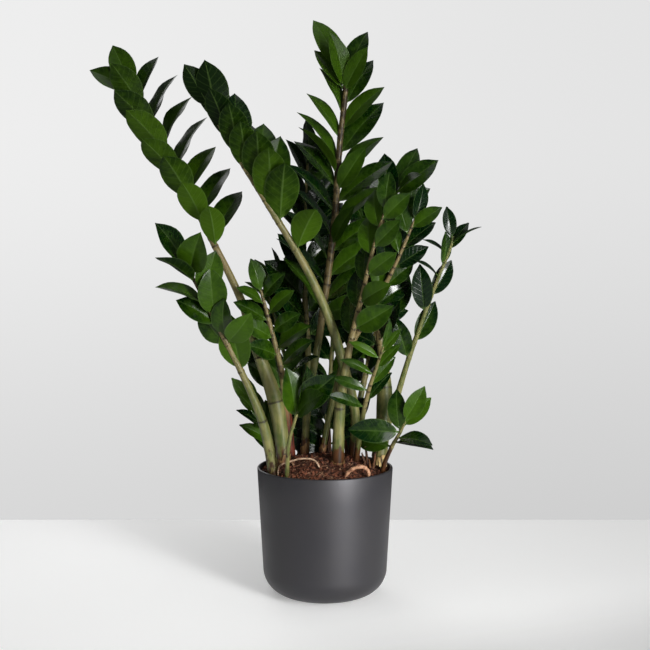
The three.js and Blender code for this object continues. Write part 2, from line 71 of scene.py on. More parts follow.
# The rise of a blade along its length and where it turns down, the rise of its edges, how
# near the stalk it is widest, how full its outline is, and its least half width.
BLADE = {"arch": 0.13, "droop": 1.8, "fold": 0.16, "early": 0.94, "full": 0.6, "least": 2}
# How deep in the stem a leaflet starts, and how long its bare stalk is, as shares of the
# stem's radius, and the stalk's length outside the stem.
STALK = {"inside": 0.4, "share": 0.7, "outside": 3}
# Where the ranks end, how many steps further up the right one stands, how much of a step
# they spare, how far a leaflet's pitch, lift and roll stray from its rank's, and its length
# as a share.
RANK = {"end": 0.975, "offset": 0.35, "spare": 0.5, "stray": (6, 11, 14), "growth": 0.1}
TIP_PLACE = 0.99
# Each frond's leaflets are numbered from its own hundred, for their wobbles.
HUNDRED, EXTRA_KEY, TIP_KEY = 100, 97, 98
# The shares of a blade's length where the solid has its rings: a long blade has one more.
LONG_BLADE = 88
LONG_STATIONS, SHORT_STATIONS = (0.27, 0.56, 0.83), (0.32, 0.7)

# Each stop of a route is (x, y, z, radius). facing is the way the upper side looks. Leaflets
# grow in pairs from the share "bare" of the route. leaf is a leaflet's length at the bottom,
# middle and top, and wide its width as a share of that. left and right are each rank's
# (pitch, lift, roll) at its bottom, middle and top, and the right one is like the left where
# it isn't given. tip is the end leaflet's (pitch, roll, length), loose scales how far leaflets
# stray, and extra lists leaflets outside the ranks: (side, place, pitch, lift, roll, length).
# fresh is how light a frond's leaves are, from 0 to 1, rise how much lighter its top ones are
# than its bottom ones, warm how brown its upper stem is, bark how dark and patchy that is,
# brown how much brown skin it has at the soil, scars the places of its ring scars, and sheath
# the (height, red, flare, pale) of the dry sheath round its base. PLAIN_FROND holds what a
# frond's row leaves out.
PLAIN_FROND = dict(bare=0.42, pairs=6, wide=0.52, loose=0.4, warm=0.5, extra=(), rise=0.16, bark=0,
                   brown=1, scars=(), sheath=None)
FRONDS = {
    "frond_far_left": dict(
        route=[(-73, -8, 240, 12), (-87, -12, 342, 14), (-125, -10, 451, 9), (-151, -4, 531, 7),
               (-223, 6, 674, 5), (-291, 14, 803, 3.6), (-338, 18, 893, 2.2)],
        facing=(0.1, -1, 0.1), bare=0.585, pairs=7, leaf=(92, 98, 88),
        left=[(45, 108, 58), (33, 64, 98), (30, 58, 100)],
        right=[(54, -8, 36), (54, -8, 60), (44, -4, 54)], tip=(-4, 2, 84),
        extra=[(-1, 0.98, 32, 4, 20, 84)],
        fresh=0.68, rise=-0.4, warm=0.85, brown=0.7, scars=(0.2, 0.31), sheath=(14, 0.4, 1)),
    "frond_low_left": dict(
        route=[(-89, -50, 226, 10), (-105, -66, 310, 8.5), (-131, -82, 381, 6),
               (-171, -102, 468, 4.5), (-205, -120, 539, 3.2), (-228, -132, 587, 2)],
        facing=(0.3, -1, 0.2), bare=0.64, pairs=4, leaf=(74, 78, 84), wide=0.62,
        left=[(20, -66, 20), (40, 20, 60), (34, 40, 64)],
        right=[(22, 50, -10), (34, 52, -16), (48, 46, -24)], tip=(4, 30, 82), loose=1.2,
        extra=[(1, 0.52, 12, 30, 10, 90), (1, 0.65, 64, 40, -20, 70)],
        fresh=0.6, rise=-0.1, warm=0.7, brown=0.4, scars=(0.3,)),
    "frond_tall_left": dict(
        route=[(49, 24, 236, 8), (54, 18, 314, 8.5), (36, 8, 393, 9), (8, -10, 486, 8),
               (-32, -28, 576, 7), (-102, -44, 693, 5), (-163, -54, 791, 3.6),
               (-198, -58, 855, 2.2)],
        facing=(0.8, -0.15, 0.5), bare=0.68, pairs=7, leaf=(98, 98, 94), wide=0.56,
        left=[(40, 62, 28), (32, 62, 28), (20, 60, 28)],
        right=[(46, 52, 10), (42, 52, 10), (28, 50, 0)], tip=(6, 92, 76),
        extra=[(-1, 0.605, 58, 62, 28, 90)],
        fresh=0.22, rise=-0.8, scars=(0.26,)),
    "frond_centre": dict(
        route=[(-37, 46, 238, 7), (-30, 46, 337, 7), (-10, 44, 455, 6.5), (15, 44, 643, 6),
               (26, 46, 794, 5.4), (36, 50, 887, 4.6), (33, 52, 933, 2.8)],
        facing=(0, -1, 0.1), pairs=10, leaf=(102, 114, 84), wide=0.44,
        left=[(44, 8, 84), (42, 6, 60), (30, 4, 40)],
        right=[(46, 10, 36), (39, 8, 36), (24, 6, 14)], tip=(22, 14, 100), loose=1,
        extra=[(1, 0.575, 34, 60, -16, 78), (1, 0.4, 60, 40, -10, 88), (-1, 0.95, 24, 62, -24, 92),
               (1, 0.94, 34, 48, -24, 80), (-1, 0.745, 43, 34, 84, 104),
               (1, 0.704, 36, 42, -20, 86)],
        fresh=0.5, rise=0.3, warm=1, bark=0.8, scars=(0.2,), sheath=(30, 0.3, 1.5)),
    "frond_dark_back": dict(
        route=[(-27, 84, 234, 6), (-31, 96, 405, 6), (-38, 104, 533, 5), (-38, 108, 662, 4),
               (-32, 110, 768, 2.2)],
        facing=(0.5, -0.8, 0.2), pairs=8, leaf=(90, 92, 80), wide=0.58,
        left=[(54, 16, 12), (44, 16, 12), (34, 16, 12)],
        right=[(50, 14, 20), (42, 14, 16), (34, 14, 10)], tip=(0, 20, 78), loose=1.6, fresh=0.2),
    "frond_slim_right": dict(
        route=[(-5, 50, 236, 5.5), (10, 48, 319, 5.5), (37, 40, 416, 5), (95, 22, 525, 4.2),
               (126, 10, 587, 3.2), (148, 4, 639, 2.4), (158, 2, 664, 1.8)],
        facing=(-0.1, -1, 0.2), bare=0.56, leaf=(70, 66, 62), wide=0.5,
        left=[(44, -30, 20), (36, -10, 30), (34, 6, 34)],
        right=[(40, -30, 30), (24, -20, 40), (30, 4, 20)], tip=(4, 40, 62), loose=1.2, fresh=0.3,
        warm=0.9, sheath=(22, 0.6, 1.5)),
    "frond_front_centre": dict(
        route=[(22, -36, 234, 11.5), (27, -46, 350, 9), (43, -58, 447, 5.5), (63, -72, 533, 4),
               (76, -80, 592, 3.2), (91, -86, 646, 2.6), (102, -90, 679, 2)],
        facing=(0.1, -1, 0.15), bare=0.54, pairs=5, leaf=(74, 68, 62), wide=0.54,
        left=[(24, -66, 10), (30, -60, 10), (34, -40, 10)],
        right=[(46, 50, -24), (46, 56, -24), (30, 40, -20)], tip=(14, -20, 60), loose=1, fresh=0.62,
        warm=0.8, scars=(0.29,), sheath=(10, 0.5, 0.8)),
    "frond_thick_right": dict(
        route=[(97, 2, 226, 11.5), (106, 14, 342, 14.5), (102, 26, 421, 8), (94, 40, 486, 7),
               (87, 56, 563, 5.5), (103, 64, 647, 4), (132, 66, 719, 2.4)],
        facing=(-0.4, -0.9, 0.2), bare=0.46, pairs=10, leaf=(92, 96, 84), wide=0.5,
        left=[(50, 10, 10), (44, 10, 10), (28, 10, 10)],
        right=[(44, 14, 0), (38, 20, -10), (46, 10, 6)], tip=(-2, 10, 80), loose=1.1,
        extra=[(1, 0.98, 30, 6, -6, 90)],
        fresh=0.2, warm=0.8, brown=0.15, scars=(0.32,), sheath=(16, 0.1, 4, 0.9)),
    "frond_far_right": dict(
        route=[(93, 46, 228, 6), (125, 40, 329, 6), (151, 28, 419, 4.6), (191, 8, 538, 3.4),
               (217, -6, 608, 2.6), (223, -10, 632, 1.9)],
        facing=(-0.1, -1, 0.1), bare=0.5, pairs=3, leaf=(78, 74, 58), wide=0.46,
        left=[(40, 20, -16), (22, 24, -10), (16, 24, 10)],
        right=[(12, -44, 40), (12, -44, 40), (16, -40, 60)], tip=(20, 10, 52), loose=0.6,
        extra=[(1, 0.97, 38, 10, 84, 56), (-1, 0.93, 74, 10, 80, 44), (-1, 0.84, 70, 10, 80, 46)],
        fresh=0.15, warm=0.1, scars=(0.3,)),
    "frond_slim_front": dict(
        route=[(55, -14, 235, 5.5), (63, -34, 305, 4.5), (74, -58, 366, 3.6), (89, -76, 416, 2.8),
               (98, -88, 447, 1.9)],
        facing=(0.1, -1, 0.2), bare=0.56, pairs=4, leaf=(66, 62, 50), wide=0.34,
        left=[(72, 6, 56), (78, 6, 52), (72, 6, 50)],
        right=[(34, -30, 60), (30, -30, 60), (20, -10, 40)], tip=(0, 40, 50), loose=0.8, fresh=0.65,
        warm=0.6, scars=(0.35,)),
    "shoot_low_right": dict(
        route=[(101, -34, 227, 4.2), (114, -47, 266, 3.6), (128, -58, 294, 2.8),
               (138, -62, 316, 1.9)],
        facing=(0, -0.9, 0.4), bare=0.6, pairs=2, leaf=(70, 70, 62), wide=0.5,
        left=[(112, -20, 30), (60, 10, 10), (36, -10, 10)],
        right=[(54, 20, 70), (40, 0, 10), (16, 4, 10)], tip=(-4, 10, 66),
        extra=[(-1, 0.84, 110, 24, 24, 84), (1, 0.76, 54, 24, 60, 66)],
        fresh=0.6, warm=0.4),
    "shoot_low_left": dict(
        route=[(-80, 28, 236, 4.5), (-99, 18, 278, 3.8), (-115, 10, 308, 3), (-127, 4, 331, 1.9)],
        facing=(0.2, -1, 0.2), bare=0.3, pairs=4, leaf=(62, 66, 58), wide=0.42,
        left=[(30, 10, 24), (20, 16, 10), (12, 20, 90)],
        right=[(16, -10, 30), (16, -14, 20), (10, -10, 20)], tip=(4, 10, 62), loose=0.8, fresh=0.5,
        warm=0.4),
    "shoot_front_left": dict(
        route=[(-65, -78, 223, 4), (-61, -94, 282, 3.4), (-51, -102, 322, 2.8),
               (-41, -108, 356, 1.9)],
        facing=(0, -1, 0.3), bare=0.84, pairs=2, leaf=(76, 74, 60), wide=0.56,
        left=[(24, 30, 10), (14, 10, 60), (0, 20, 60)],
        right=[(30, 34, 0), (30, 12, 0), (40, 10, 30)], tip=(0, 60, 60),
        extra=[(1, 0.95, 34, 40, -20, 88)],
        fresh=0.6, warm=0.3, brown=0.35),
    "frond_left_centre": dict(
        route=[(-62, 38, 238, 8), (-71, 28, 331, 7), (-79, 12, 403, 5), (-99, -4, 486, 4),
               (-112, -14, 539, 2.2)],
        facing=(0.2, -1, 0.15), bare=0.48, leaf=(78, 66, 56), wide=0.54,
        left=[(46, 6, 20), (50, 6, 20), (44, 6, 30)],
        right=[(50, 26, 70), (60, 30, 40), (58, 30, 30)], tip=(0, 10, 56), loose=1.3, fresh=0.5,
        warm=0.7, bark=0.45, scars=(0.3,), sheath=(150, 1, 5)),
    "frond_back_left": dict(
        route=[(-64, 76, 230, 5), (-82, 88, 368, 4.6), (-89, 94, 460, 3.8), (-89, 98, 543, 2.2)],
        facing=(0.8, -0.6, 0.2), leaf=(80, 80, 68), left=[(50, 14, 10), (42, 14, 10), (34, 14, 10)],
        tip=(0, 10, 68), loose=1.4, fresh=0.15),
    "frond_back_right": dict(
        route=[(46, 84, 231, 6), (70, 116, 350, 5.6), (100, 144, 470, 4.6), (124, 164, 590, 2.4)],
        facing=(-0.7, -0.4, 0.6), leaf=(84, 84, 68), left=[(50, 14, 6), (43, 14, 6), (36, 14, 6)],
        tip=(0, 10, 68), loose=1.4, fresh=0.2),
    "frond_back_slim": dict(
        route=[(4, 98, 228, 4.6), (10, 136, 360, 4.4), (18, 172, 480, 3.8), (30, 200, 600, 2.2)],
        facing=(-0.3, -0.8, 0.5), bare=0.4, leaf=(82, 84, 66),
        left=[(52, 14, 6), (44, 14, 6), (36, 14, 6)], tip=(0, 10, 66), loose=1.4, fresh=0.3,
        warm=0.3),
    "frond_back_pale": dict(
        route=[(-42, 96, 228, 4.4), (-58, 128, 340, 4.2), (-86, 158, 440, 3.4),
               (-112, 178, 530, 2.2)],
        facing=(0.6, -0.6, 0.6), bare=0.44, pairs=5, leaf=(78, 80, 64),
        left=[(50, 14, 8), (43, 14, 8), (36, 14, 8)], tip=(0, 10, 64), loose=1.4, fresh=0.4,
        warm=0.2),
    "shoot_low_back": dict(
        route=[(8, 72, 236, 4), (6, 73, 268, 3.4), (3, 74, 294, 2.8), (0, 74, 312, 1.9)],
        facing=(0, -1, 0.3), pairs=3, leaf=(86, 86, 80), wide=0.56,
        left=[(74, 6, 6), (50, 6, 6), (24, 6, 6)], right=[(72, 6, 6), (56, 6, 6), (28, 6, 6)],
        tip=(0, 6, 76), loose=0.8, fresh=0.15, warm=0.3),
}

# The swings a leaflet may have taken to stay clear: changes of pitch, lift and roll in
# degrees, and a share of its length.
SWINGS = [
    (0, 0, 0, 1), (0, 14, 0, 1), (0, -14, 0, 1), (-12, 0, 0, 1), (12, 0, 0, 1), (0, 28, 0, 1),
    (0, -28, 0, 1), (-12, 18, 15, 1), (-12, -18, -15, 1), (-22, 0, 20, 1), (14, 24, 0, 1),
    (14, -24, 0, 1), (0, 42, 10, 0.95), (0, -42, -10, 0.95), (-20, 32, 20, 0.95),
    (-20, -32, -20, 0.95), (-10, 55, 0, 0.9), (-10, -55, 0, 0.9), (0, 0, 40, 0.85),
    (0, 0, -40, 0.85), (-24, 20, 40, 0.8), (-24, -20, -40, 0.8), (-26, 70, 0, 0.8),
    (-26, -70, 0, 0.8), (-10, 30, 30, 0.7), (-10, -30, -30, 0.7), (-24, 0, 0, 0.6),
]

# The broken stalks of old fronds, dry and standing in the soil: x, y, height and radius.
OLD_STALKS = [(72, -30, 24, 2.8), (79, -36, 17, 2.3), (84, -27, 30, 2.6), (66, -37, 13, 2),
              (76, -22, 34, 2.4), (-10, 56, 30, 3.4), (-50, 56, 34, 4), (24, 20, 18, 3),
              (-22, -8, 9, 2.2), (40, 40, 30, 4), (-30, 66, 42, 4), (8, 60, 46, 4.4),
              (-46, 70, 38, 4)]

SURFACE_ROOTS = {
    "root_loop": dict(radius=3.4, stops=[(38, -88, 205), (36, -90, 228), (48, -93, 240),
                                         (62, -92, 243), (72, -86, 236), (76, -78, 205)]),
    "root_thin": dict(radius=1.5, stops=[(-80, -62, 205), (-78, -64, 238), (-58, -58, 246),
                                         (-38, -56, 250), (-16, -60, 246), (-2, -62, 205)]),
}

# ---- the stage, in metres ----
CAMERA = {"place": (0, -2.0, 0.628), "down": 4.33, "lens": 63.25, "sensor": 36, "far": 50}
FLOOR = {"reach": 3.5, "back": 0.515, "round": 0.02, "thick": 0.2}
# Place, target, width and height, and spread in degrees.
SOFTBOXES = {
    "key": ((2.6, -3.6, 2.2), (0, 0, 0.6), (1.7, 3.4), 180),
    "strip": ((1.0, -1.5, 0.45), (0, 0, 0.3), (0.3, 0.8), 50),
    "top": ((-0.1, 0.1, 2.3), (0, 0, 0.2), (1.8, 1.8), 180),
    "back": ((-1.4, 3.2, 2.0), (0, 0, 0.5), (2.4, 2.4), 180),
}


# ---- numbers and lines ----
def paint(red, green, blue):
    """A screen colour from 0 to 255 as the linear colour that shaders take."""
    def linear(c):
        c /= 255
        return c / 12.92 if c <= 0.04045 else ((c + 0.055) / 1.055) ** 2.4
    return tuple(linear(c) for c in (red, green, blue))


def wobble(key):
    """A repeatable number from -1 to 1 for a key."""
    wave = math.sin(key * 12.9898) * 43758.5453
    return (wave - math.floor(wave)) * 2 - 1


def mix(a, b, share):
    return a + (b - a) * share


def through(low, middle, high, a):
    """A value at share a of a stretch, through those at its bottom, middle and top."""
    return mix(low, middle, a * 2) if a < 0.5 else mix(middle, high, a * 2 - 1)


def ease(a, b, x):
    """0 below a, 1 above b, and a smooth rise between them."""
    x = min(1.0, max(0.0, (x - a) / (b - a)))
    return x * x * (3 - 2 * x)


def nearness(u, places, reach):
    """1 at any of the places, and less the further u is from all of them."""
    return max((math.exp(-((u - place) / reach) ** 2) for place in places), default=0)


def unit(v):
    return v / np.linalg.norm(v)


class Route:
    """A smooth line through stops, walked by its own length. even=False spaces it by the
    square root of the gaps between its stops."""

    def __init__(self, stops, even=True):
        self.stops = np.array(stops, float)
        self.spacing = 0 if even else 0.5
        self.steps = np.linspace(0, 1, 201)
        places = np.array([self.at(t) for t in self.steps])
        gaps = np.linalg.norm(np.diff(places, axis=0), axis=1)
        self.lengths = np.concatenate([[0], np.cumsum(gaps)])
        self.length = self.lengths[-1]

    def at(self, t):
        """The point at share t of the stops."""
        p, last = self.stops, len(self.stops) - 1
        i = min(int(t * last), last - 1)
        w = t * last - i
        before = p[i - 1] if i else 2 * p[0] - p[1]
        after = p[i + 2] if i + 2 <= last else 2 * p[last] - p[last - 1]
        here, there = p[i], p[i + 1]
        a, b, c = (np.linalg.norm(q - r) ** self.spacing
                   for q, r in ((before, here), (here, there), (there, after)))
        start = b * ((here - before) / a - (there - before) / (a + b) + (there - here) / b)
        end = b * ((there - here) / b - (after - here) / (b + c) + (after - there) / c)
        return (here * (2 * w ** 3 - 3 * w ** 2 + 1) + start * (w ** 3 - 2 * w ** 2 + w)
                + there * (3 * w ** 2 - 2 * w ** 3) + end * (w ** 3 - w ** 2))

    def place(self, u):
        """The share of the stops at share u of the length."""
        return float(np.interp(u * self.length, self.lengths, self.steps))

    def point(self, u):
        return self.at(self.place(u))

    def along(self, u):
        t, step = self.place(u), 1e-4
        return unit(self.at(min(1, t + step)) - self.at(max(0, t - step)))


class Stem:
    """The stem of one frond, from its underside in the soil to its tip."""

    def __init__(self, index, name):
        self.index, self.name = index, name
        given = FRONDS[name]
        self.frond = SimpleNamespace(**{**PLAIN_FROND, "right": given["left"], **given})
        x, y, _, radius = self.frond.route[0]
        stops = [(x, y, STEM["depth"], radius * STEM["foot"]), *self.frond.route]
        self.radii = [stop[3] for stop in stops]
        self.route = Route([stop[:3] for stop in stops])
        self.rings = len(stops) + STEM["rings"]

    def radius(self, u):
        return float(np.interp(self.route.place(u) * (len(self.radii) - 1),
                               range(len(self.radii)), self.radii))

    def axes(self, u):
        """The stem's own direction, its face and the way across it."""
        along = self.route.along(u)
        face = np.array(self.frond.facing, float)
        face = unit(face - along * face.dot(along))
        return along, face, np.cross(along, face)

    def chord(self, u):
        """The middle of the faceted solid's tube, where its leaflets take root."""
        i = min(int(u * self.rings), self.rings - 1)
        a, b = self.route.point(i / self.rings), self.route.point((i + 1) / self.rings)
        return mix(a, b, u * self.rings - i)

    def share_at_height(self, z):
        shares = np.linspace(0, 1, 80)
        return float(np.interp(z, [self.route.point(u)[2] for u in shares], shares))


def stems():
    return [Stem(index, name) for index, name in enumerate(FRONDS)]


# ---- meshes ----
class Shape:
    """Closed bodies gathered into one mesh. Each point has a mark of three numbers for the
    finishes to read, and each face the number of its finish."""

    def __init__(self):
        self.points, self.marks, self.faces, self.finishes = [], [], [], []
        self.count = 0

    def tube(self, rings, marks=0, finish_of=lambda column: 0, pointed=False):
        """Joins rings of points, each as long as the next, into a closed body. A pointed body
        ends in the middle of its last ring."""
        rings = np.array(rings, float)
        marks = np.broadcast_to(np.array(marks, float), rings.shape)
        rows, columns = rings.shape[:2]
        rows -= pointed
        sides = [(j, (j + 1) % columns) for j in range(columns)]
        turn = [finish_of(j) for j in range(columns)]
        points, notes = (grid[:rows].reshape(-1, 3) for grid in (rings, marks))
        top = (rows - 1) * columns
        faces = [(i + j, i + k, i + columns + k, i + columns + j)
                 for i in range(0, top, columns) for j, k in sides]
        finishes = turn * (rows - 1)
        if pointed:
            points, notes = (np.vstack([low, grid[-1].mean(0)])
                             for low, grid in ((points, rings), (notes, marks)))
            faces += [(top + j, top + k, len(points) - 1) for j, k in sides]
            finishes += turn
        else:
            faces.append(tuple(range(top, top + columns)))
            finishes.append(turn[0])
        faces.append(tuple(range(columns))[::-1])
        finishes.append(turn[0])
        return self.add(points, notes, faces, finishes)

    def add(self, points, marks, faces, finishes):
        points = np.asarray(points, float)
        volume = sum(np.dot(points[f[0]], np.cross(points[f[i]], points[f[i + 1]]))
                     for f in faces for i in range(1, len(f) - 1))
        for face in faces:
            ordered = face if volume > 0 else face[::-1]
            self.faces.append(tuple(self.count + i for i in ordered))
        self.points.append(points)
        self.marks.append(np.broadcast_to(np.array(marks, float), points.shape))
        self.finishes += finishes
        self.count += len(points)
        return self

    def piece(self, name, finishes, slot, node, sharp=0):
        """The mesh as an object that rides on the plant and stands for a node's solid. Edges
        that turn by more than "sharp" degrees stay crisp."""
        mesh = bpy.data.meshes.new(name)
        mesh.from_pydata(np.vstack(self.points) * MM, [], self.faces)
        mesh.validate()
        for finish in finishes:
            mesh.materials.append(finish)
        mesh.polygons.foreach_set("material_index", self.finishes)
        mesh.polygons.foreach_set("use_smooth", [True] * len(mesh.polygons))
        if sharp:
            mesh.set_sharp_from_angle(angle=math.radians(sharp))
        marks = mesh.attributes.new("mark", "FLOAT_VECTOR", "POINT")
        marks.data.foreach_set("vector", np.vstack(self.marks).ravel())
        made = bpy.data.objects.new(name, mesh)
        bpy.context.scene.collection.objects.link(made)
        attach(made, "root")
        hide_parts(node)


def round_ring(centre, face, across, radius, grow):
    """Points round a centre. grow gives each side's share of the radius."""
    turns = np.arange(len(grow)) * FULL_TURN / len(grow)
    reach = radius * np.asarray(grow)
    return (centre + np.outer(reach * np.cos(turns), face)
            + np.outer(reach * np.sin(turns), across))


# ---- finishes ----
class Flow:
    """A number or colour that flows out of a node, so that sums can be written plainly."""

    def __init__(self, finish, socket):
        self.finish, self.socket = finish, socket

    def _math(self, operation, *terms):
        return self.finish.add("ShaderNodeMath", {"operation": operation}, dict(enumerate(terms)))

    def __add__(self, other):
        return self._math("ADD", self, other)

    def __sub__(self, other):
        return self._math("SUBTRACT", self, other)

    def __rsub__(self, other):
        return self._math("SUBTRACT", other, self)

    def __mul__(self, other):
        return self._math("MULTIPLY", self, other)

    def __abs__(self):
        return self._math("ABSOLUTE", self)

    __radd__, __rmul__ = __add__, __mul__


class Finish:
    """A material being made."""

    def __init__(self, name, tree=None):
        if tree is None:
            self.material = bpy.data.materials.new(name)
            self.material.use_nodes = True
            tree = self.material.node_tree
        self.tree = tree
        self.tree.nodes.clear()

    def add(self, kind, settings=None, sockets=None, out=0):
        """A node with its settings and its sockets' values or links; gives one output."""
        node = self.tree.nodes.new(kind)
        for key, value in (settings or {}).items():
            setattr(node, key, value)
        known = {s.identifier: s for s in node.inputs}
        for key, value in (sockets or {}).items():
            socket = known.get(key) or node.inputs[key]
            if isinstance(value, Flow):
                self.tree.links.new(value.socket, socket)
            elif socket.type == "RGBA" and len(value) == 3:
                socket.default_value = (*value, 1)
            else:
                socket.default_value = value
        return Flow(self, node.outputs[out]) if len(node.outputs) else node

    def parts(self, vector):
        """The three numbers of a vector."""
        node = self.add("ShaderNodeSeparateXYZ", sockets={"Vector": vector}).socket.node
        return [Flow(self, output) for output in node.outputs]

    def marks(self):
        """The three numbers that each point of a shape has."""
        return self.parts(self.add("ShaderNodeAttribute", {"attribute_name": "mark"},
                                   out="Vector"))

    def blend(self, share, a, b):
        """Colour a where share is 0 and b where it is 1."""
        return self.add("ShaderNodeMix", {"data_type": "RGBA", "clamp_factor": True},
                        {"Factor_Float": share, "A_Color": a, "B_Color": b}, "Result")

    def layers(self, colour, *over):
        """A colour with others laid over it, each given as (share, colour)."""
        for share, top in over:
            colour = self.blend(share, colour, top)
        return colour

    def band(self, value, low, high, at_low=0.0, at_high=1.0):
        """A smooth change from at_low to at_high as the value goes from low to high."""
        return self.add("ShaderNodeMapRange", {"interpolation_type": "SMOOTHSTEP"},
                        {"Value": value, "From Min": low, "From Max": high,
                         "To Min": at_low, "To Max": at_high})

    def cloud(self, size, detail=3, rough=0.5, stretch=(1, 1, 1)):
        """Soft noise from 0 to 1. Its patches are about this size in metres, and smaller
        where a stretch is above 1."""
        spot = self.add("ShaderNodeTexCoord", out="Object")
        place = self.add("ShaderNodeMapping", {"vector_type": "POINT"},
                         {"Vector": spot, "Scale": stretch})
        return self.add("ShaderNodeTexNoise", {"noise_dimensions": "3D"},
                        {"Vector": place, "Scale": 1 / size, "Detail": detail,
                         "Roughness": rough}, "Fac")

    def surface(self, sockets, height=None, strength=0.3, depth=0.001):
        """Ends the material with its surface, over a bump where a height is given."""
        if height is not None:
            sockets["Normal"] = self.add("ShaderNodeBump", sockets={
                "Height": height, "Strength": strength, "Distance": depth})
        body = self.add("ShaderNodeBsdfPrincipled", sockets=sockets)
        self.add("ShaderNodeOutputMaterial", sockets={"Surface": body})
        return self.material


def leaf_finish(look, under):
    """A waxy leaflet. Its marks are the share along it, the share across it and its tint."""
    finish = Finish("leaf_underside" if under else "leaf_upper")
    along, across, tint = finish.marks()
    off = abs(across)
    rib = finish.band(off, 0.02, 0.09, 1.0, 0.0)
    slant, spread = 1.5, 8.5
    crest = finish.add("ShaderNodeMath", {"operation": "PINGPONG"},
                       {0: along * spread - off * slant, 1: 0.5})
    vein = finish.band(crest, 0.36, 0.5)
    patches = finish.cloud(0.012, 3, 0.6)
    swell = finish.cloud(0.022, 0, 0.5)
    heart = (0.45 - along) * 0.35 - off * 0.2 + 0.08
    tone = finish.band(tint + heart + (patches - 0.5) * 0.9, 0.0, 1.0)
    if under:
        deep, fresh, rough = look.under_deep, look.under_fresh, look.under_roughness
        shine, coat, vein_share, rib_share, rib_height = 0.07, 0.0, 0.14, 0.45, 0.9
    else:
        deep, fresh, rough = look.upper_deep, look.upper_fresh, look.upper_roughness
        shine, vein_share, rib_share, rib_height = 0.12, 0.07, 0.25, -0.9
        coat = finish.band(tint, 0.3, 0.8, look.wax, look.wax * 0.2)
    foot, rim = finish.band(along, -0.02, 0.1, 0.55, 0.0), finish.band(off, 0.9, 0.99)
    pale = ((share, look.vein) for share in (vein * vein_share, rib * rib_share, foot,
                                             rim * look.rim))
    return finish.surface(
        {"Base Color": finish.layers(deep, (tone, fresh), *pale),
         "Roughness": finish.band(patches, 0.3, 0.7, rough, rough + 0.1)
         + finish.band(tint, 0.3, 0.8, 0.0, 0.16),
         "IOR": 1.45, "Specular IOR Level": shine, "Coat Weight": coat, "Coat Roughness": 0.12},
        vein * -0.35 + swell * 3.2 + rib * rib_height, 0.22, 0.002)


def stem_finish(look):
    """A fleshy stem. Its marks are the ring scars, how warm it is and how near the soil."""
    finish = Finish("stem_skin")
    ring, warm, earth = finish.marks()
    streaks = finish.cloud(0.008, 4, 0.6, (1, 1, 0.12))
    flecks = finish.cloud(0.003, 3, 0.55, (0.8, 0.8, 1.5))
    patches = finish.cloud(0.03, 3, 0.6) - 0.5
    mottles = finish.cloud(0.007, 3, 0.6, (1, 1, 0.6)) - 0.5
    skin = finish.band(earth + mottles * 2.2 + (streaks - 0.5) * 0.8, 0.4, 0.9)
    colour = finish.layers(
        look.green, (finish.band(streaks + patches * 0.9, 0.25, 0.75), look.pale),
        (finish.band(warm + patches * 0.5, 0.1, 0.9), look.blush),
        (finish.band(flecks, 0.56, 0.7, 0.0, 0.16), look.fleck),
        (finish.band(ring + mottles * 2.4, 0.3, 0.9, 0.0, 0.9), look.scar),
        (skin, look.earth), (skin * finish.band(streaks, 0.42, 0.62, 0.0, 0.75), look.scar))
    return finish.surface(
        {"Base Color": colour, "Roughness": finish.band(streaks, 0.3, 0.7, 0.38, 0.52),
         "Specular IOR Level": 0.3},
        streaks * 0.5 + flecks * 0.2 - ring * 0.6, 0.25, 0.001)


def sheath_finish():
    """Dry papery sheath. Its marks are how red it is, the share up it and how pale it is."""
    finish = Finish("dry_sheath")
    red, up, pale = finish.marks()
    fibres = finish.cloud(0.0035, 4, 0.65, (1, 1, 0.12))
    colour = finish.layers(paint(104, 78, 44), (red, paint(92, 34, 14)),
                           (pale, paint(196, 170, 112)),
                           (finish.band(fibres, 0.4, 0.6), paint(36, 18, 11)),
                           (finish.band(up, 0.55, 1.0, 0.0, 0.5), paint(140, 112, 70)))
    return finish.surface({"Base Color": colour, "Roughness": 0.66, "Specular IOR Level": 0.3},
                          fibres, 0.6, 0.0015)


def coir_finish(look):
    """Damp coir. Its marks are the tint, the share of pale fibre and nothing."""
    finish = Finish("coir_soil")
    tint, pale, _ = finish.marks()
    crumbs = finish.cloud(0.004, 5, 0.7)
    patches = finish.cloud(0.025, 2, 0.5)
    colour = finish.layers(
        look.damp, (finish.band(crumbs + (tint - 0.5) * 0.5, 0.35, 0.65), look.crumb),
        (finish.band(patches, 0.4, 0.7, 0.0, 0.45), look.damp), (pale, look.fibre))
    return finish.surface({"Base Color": colour, "Roughness": 0.86, "Specular IOR Level": 0.25},
                          crumbs, 0.8, 0.003)


def root_finish(name, light, dark):
    """Bark of a surface root."""
    finish = Finish(name)
    bark = finish.cloud(0.005, 4, 0.6)
    fine = finish.cloud(0.0012, 3, 0.6)
    colour = finish.blend(finish.band(bark, 0.35, 0.65), light, dark)
    return finish.surface(
        {"Base Color": colour, "Roughness": finish.band(bark, 0.3, 0.7, 0.5, 0.7)},
        bark + fine * 0.4, 0.5, 0.0015)


def pot_finish(look):
    """Satin powder coat with a fine grain."""
    finish = Finish("satin_anthracite")
    grain = finish.cloud(0.0011, 2, 0.5)
    haze = finish.cloud(0.05, 3, 0.5)
    colour = finish.blend(finish.band(haze, 0.35, 0.65, 0.0, 0.3), look.colour, look.haze)
    return finish.surface(
        {"Base Color": colour, "Metallic": look.metal,
         "Roughness": finish.band(haze, 0.3, 0.7, look.roughness, look.roughness + 0.05),
         "Specular IOR Level": 0.8},
        grain, 0.16, 0.0006)


# ---- what a user may change ----
def colour_of(name, description, *default):
    return bpy.props.FloatVectorProperty(name=name, description=description, subtype="COLOR",
                                         size=3, min=0, max=1, default=paint(*default))


def share_of(name, description, default):
    return bpy.props.FloatProperty(name=name, description=description, subtype="FACTOR",
                                   min=0, max=1, default=default)


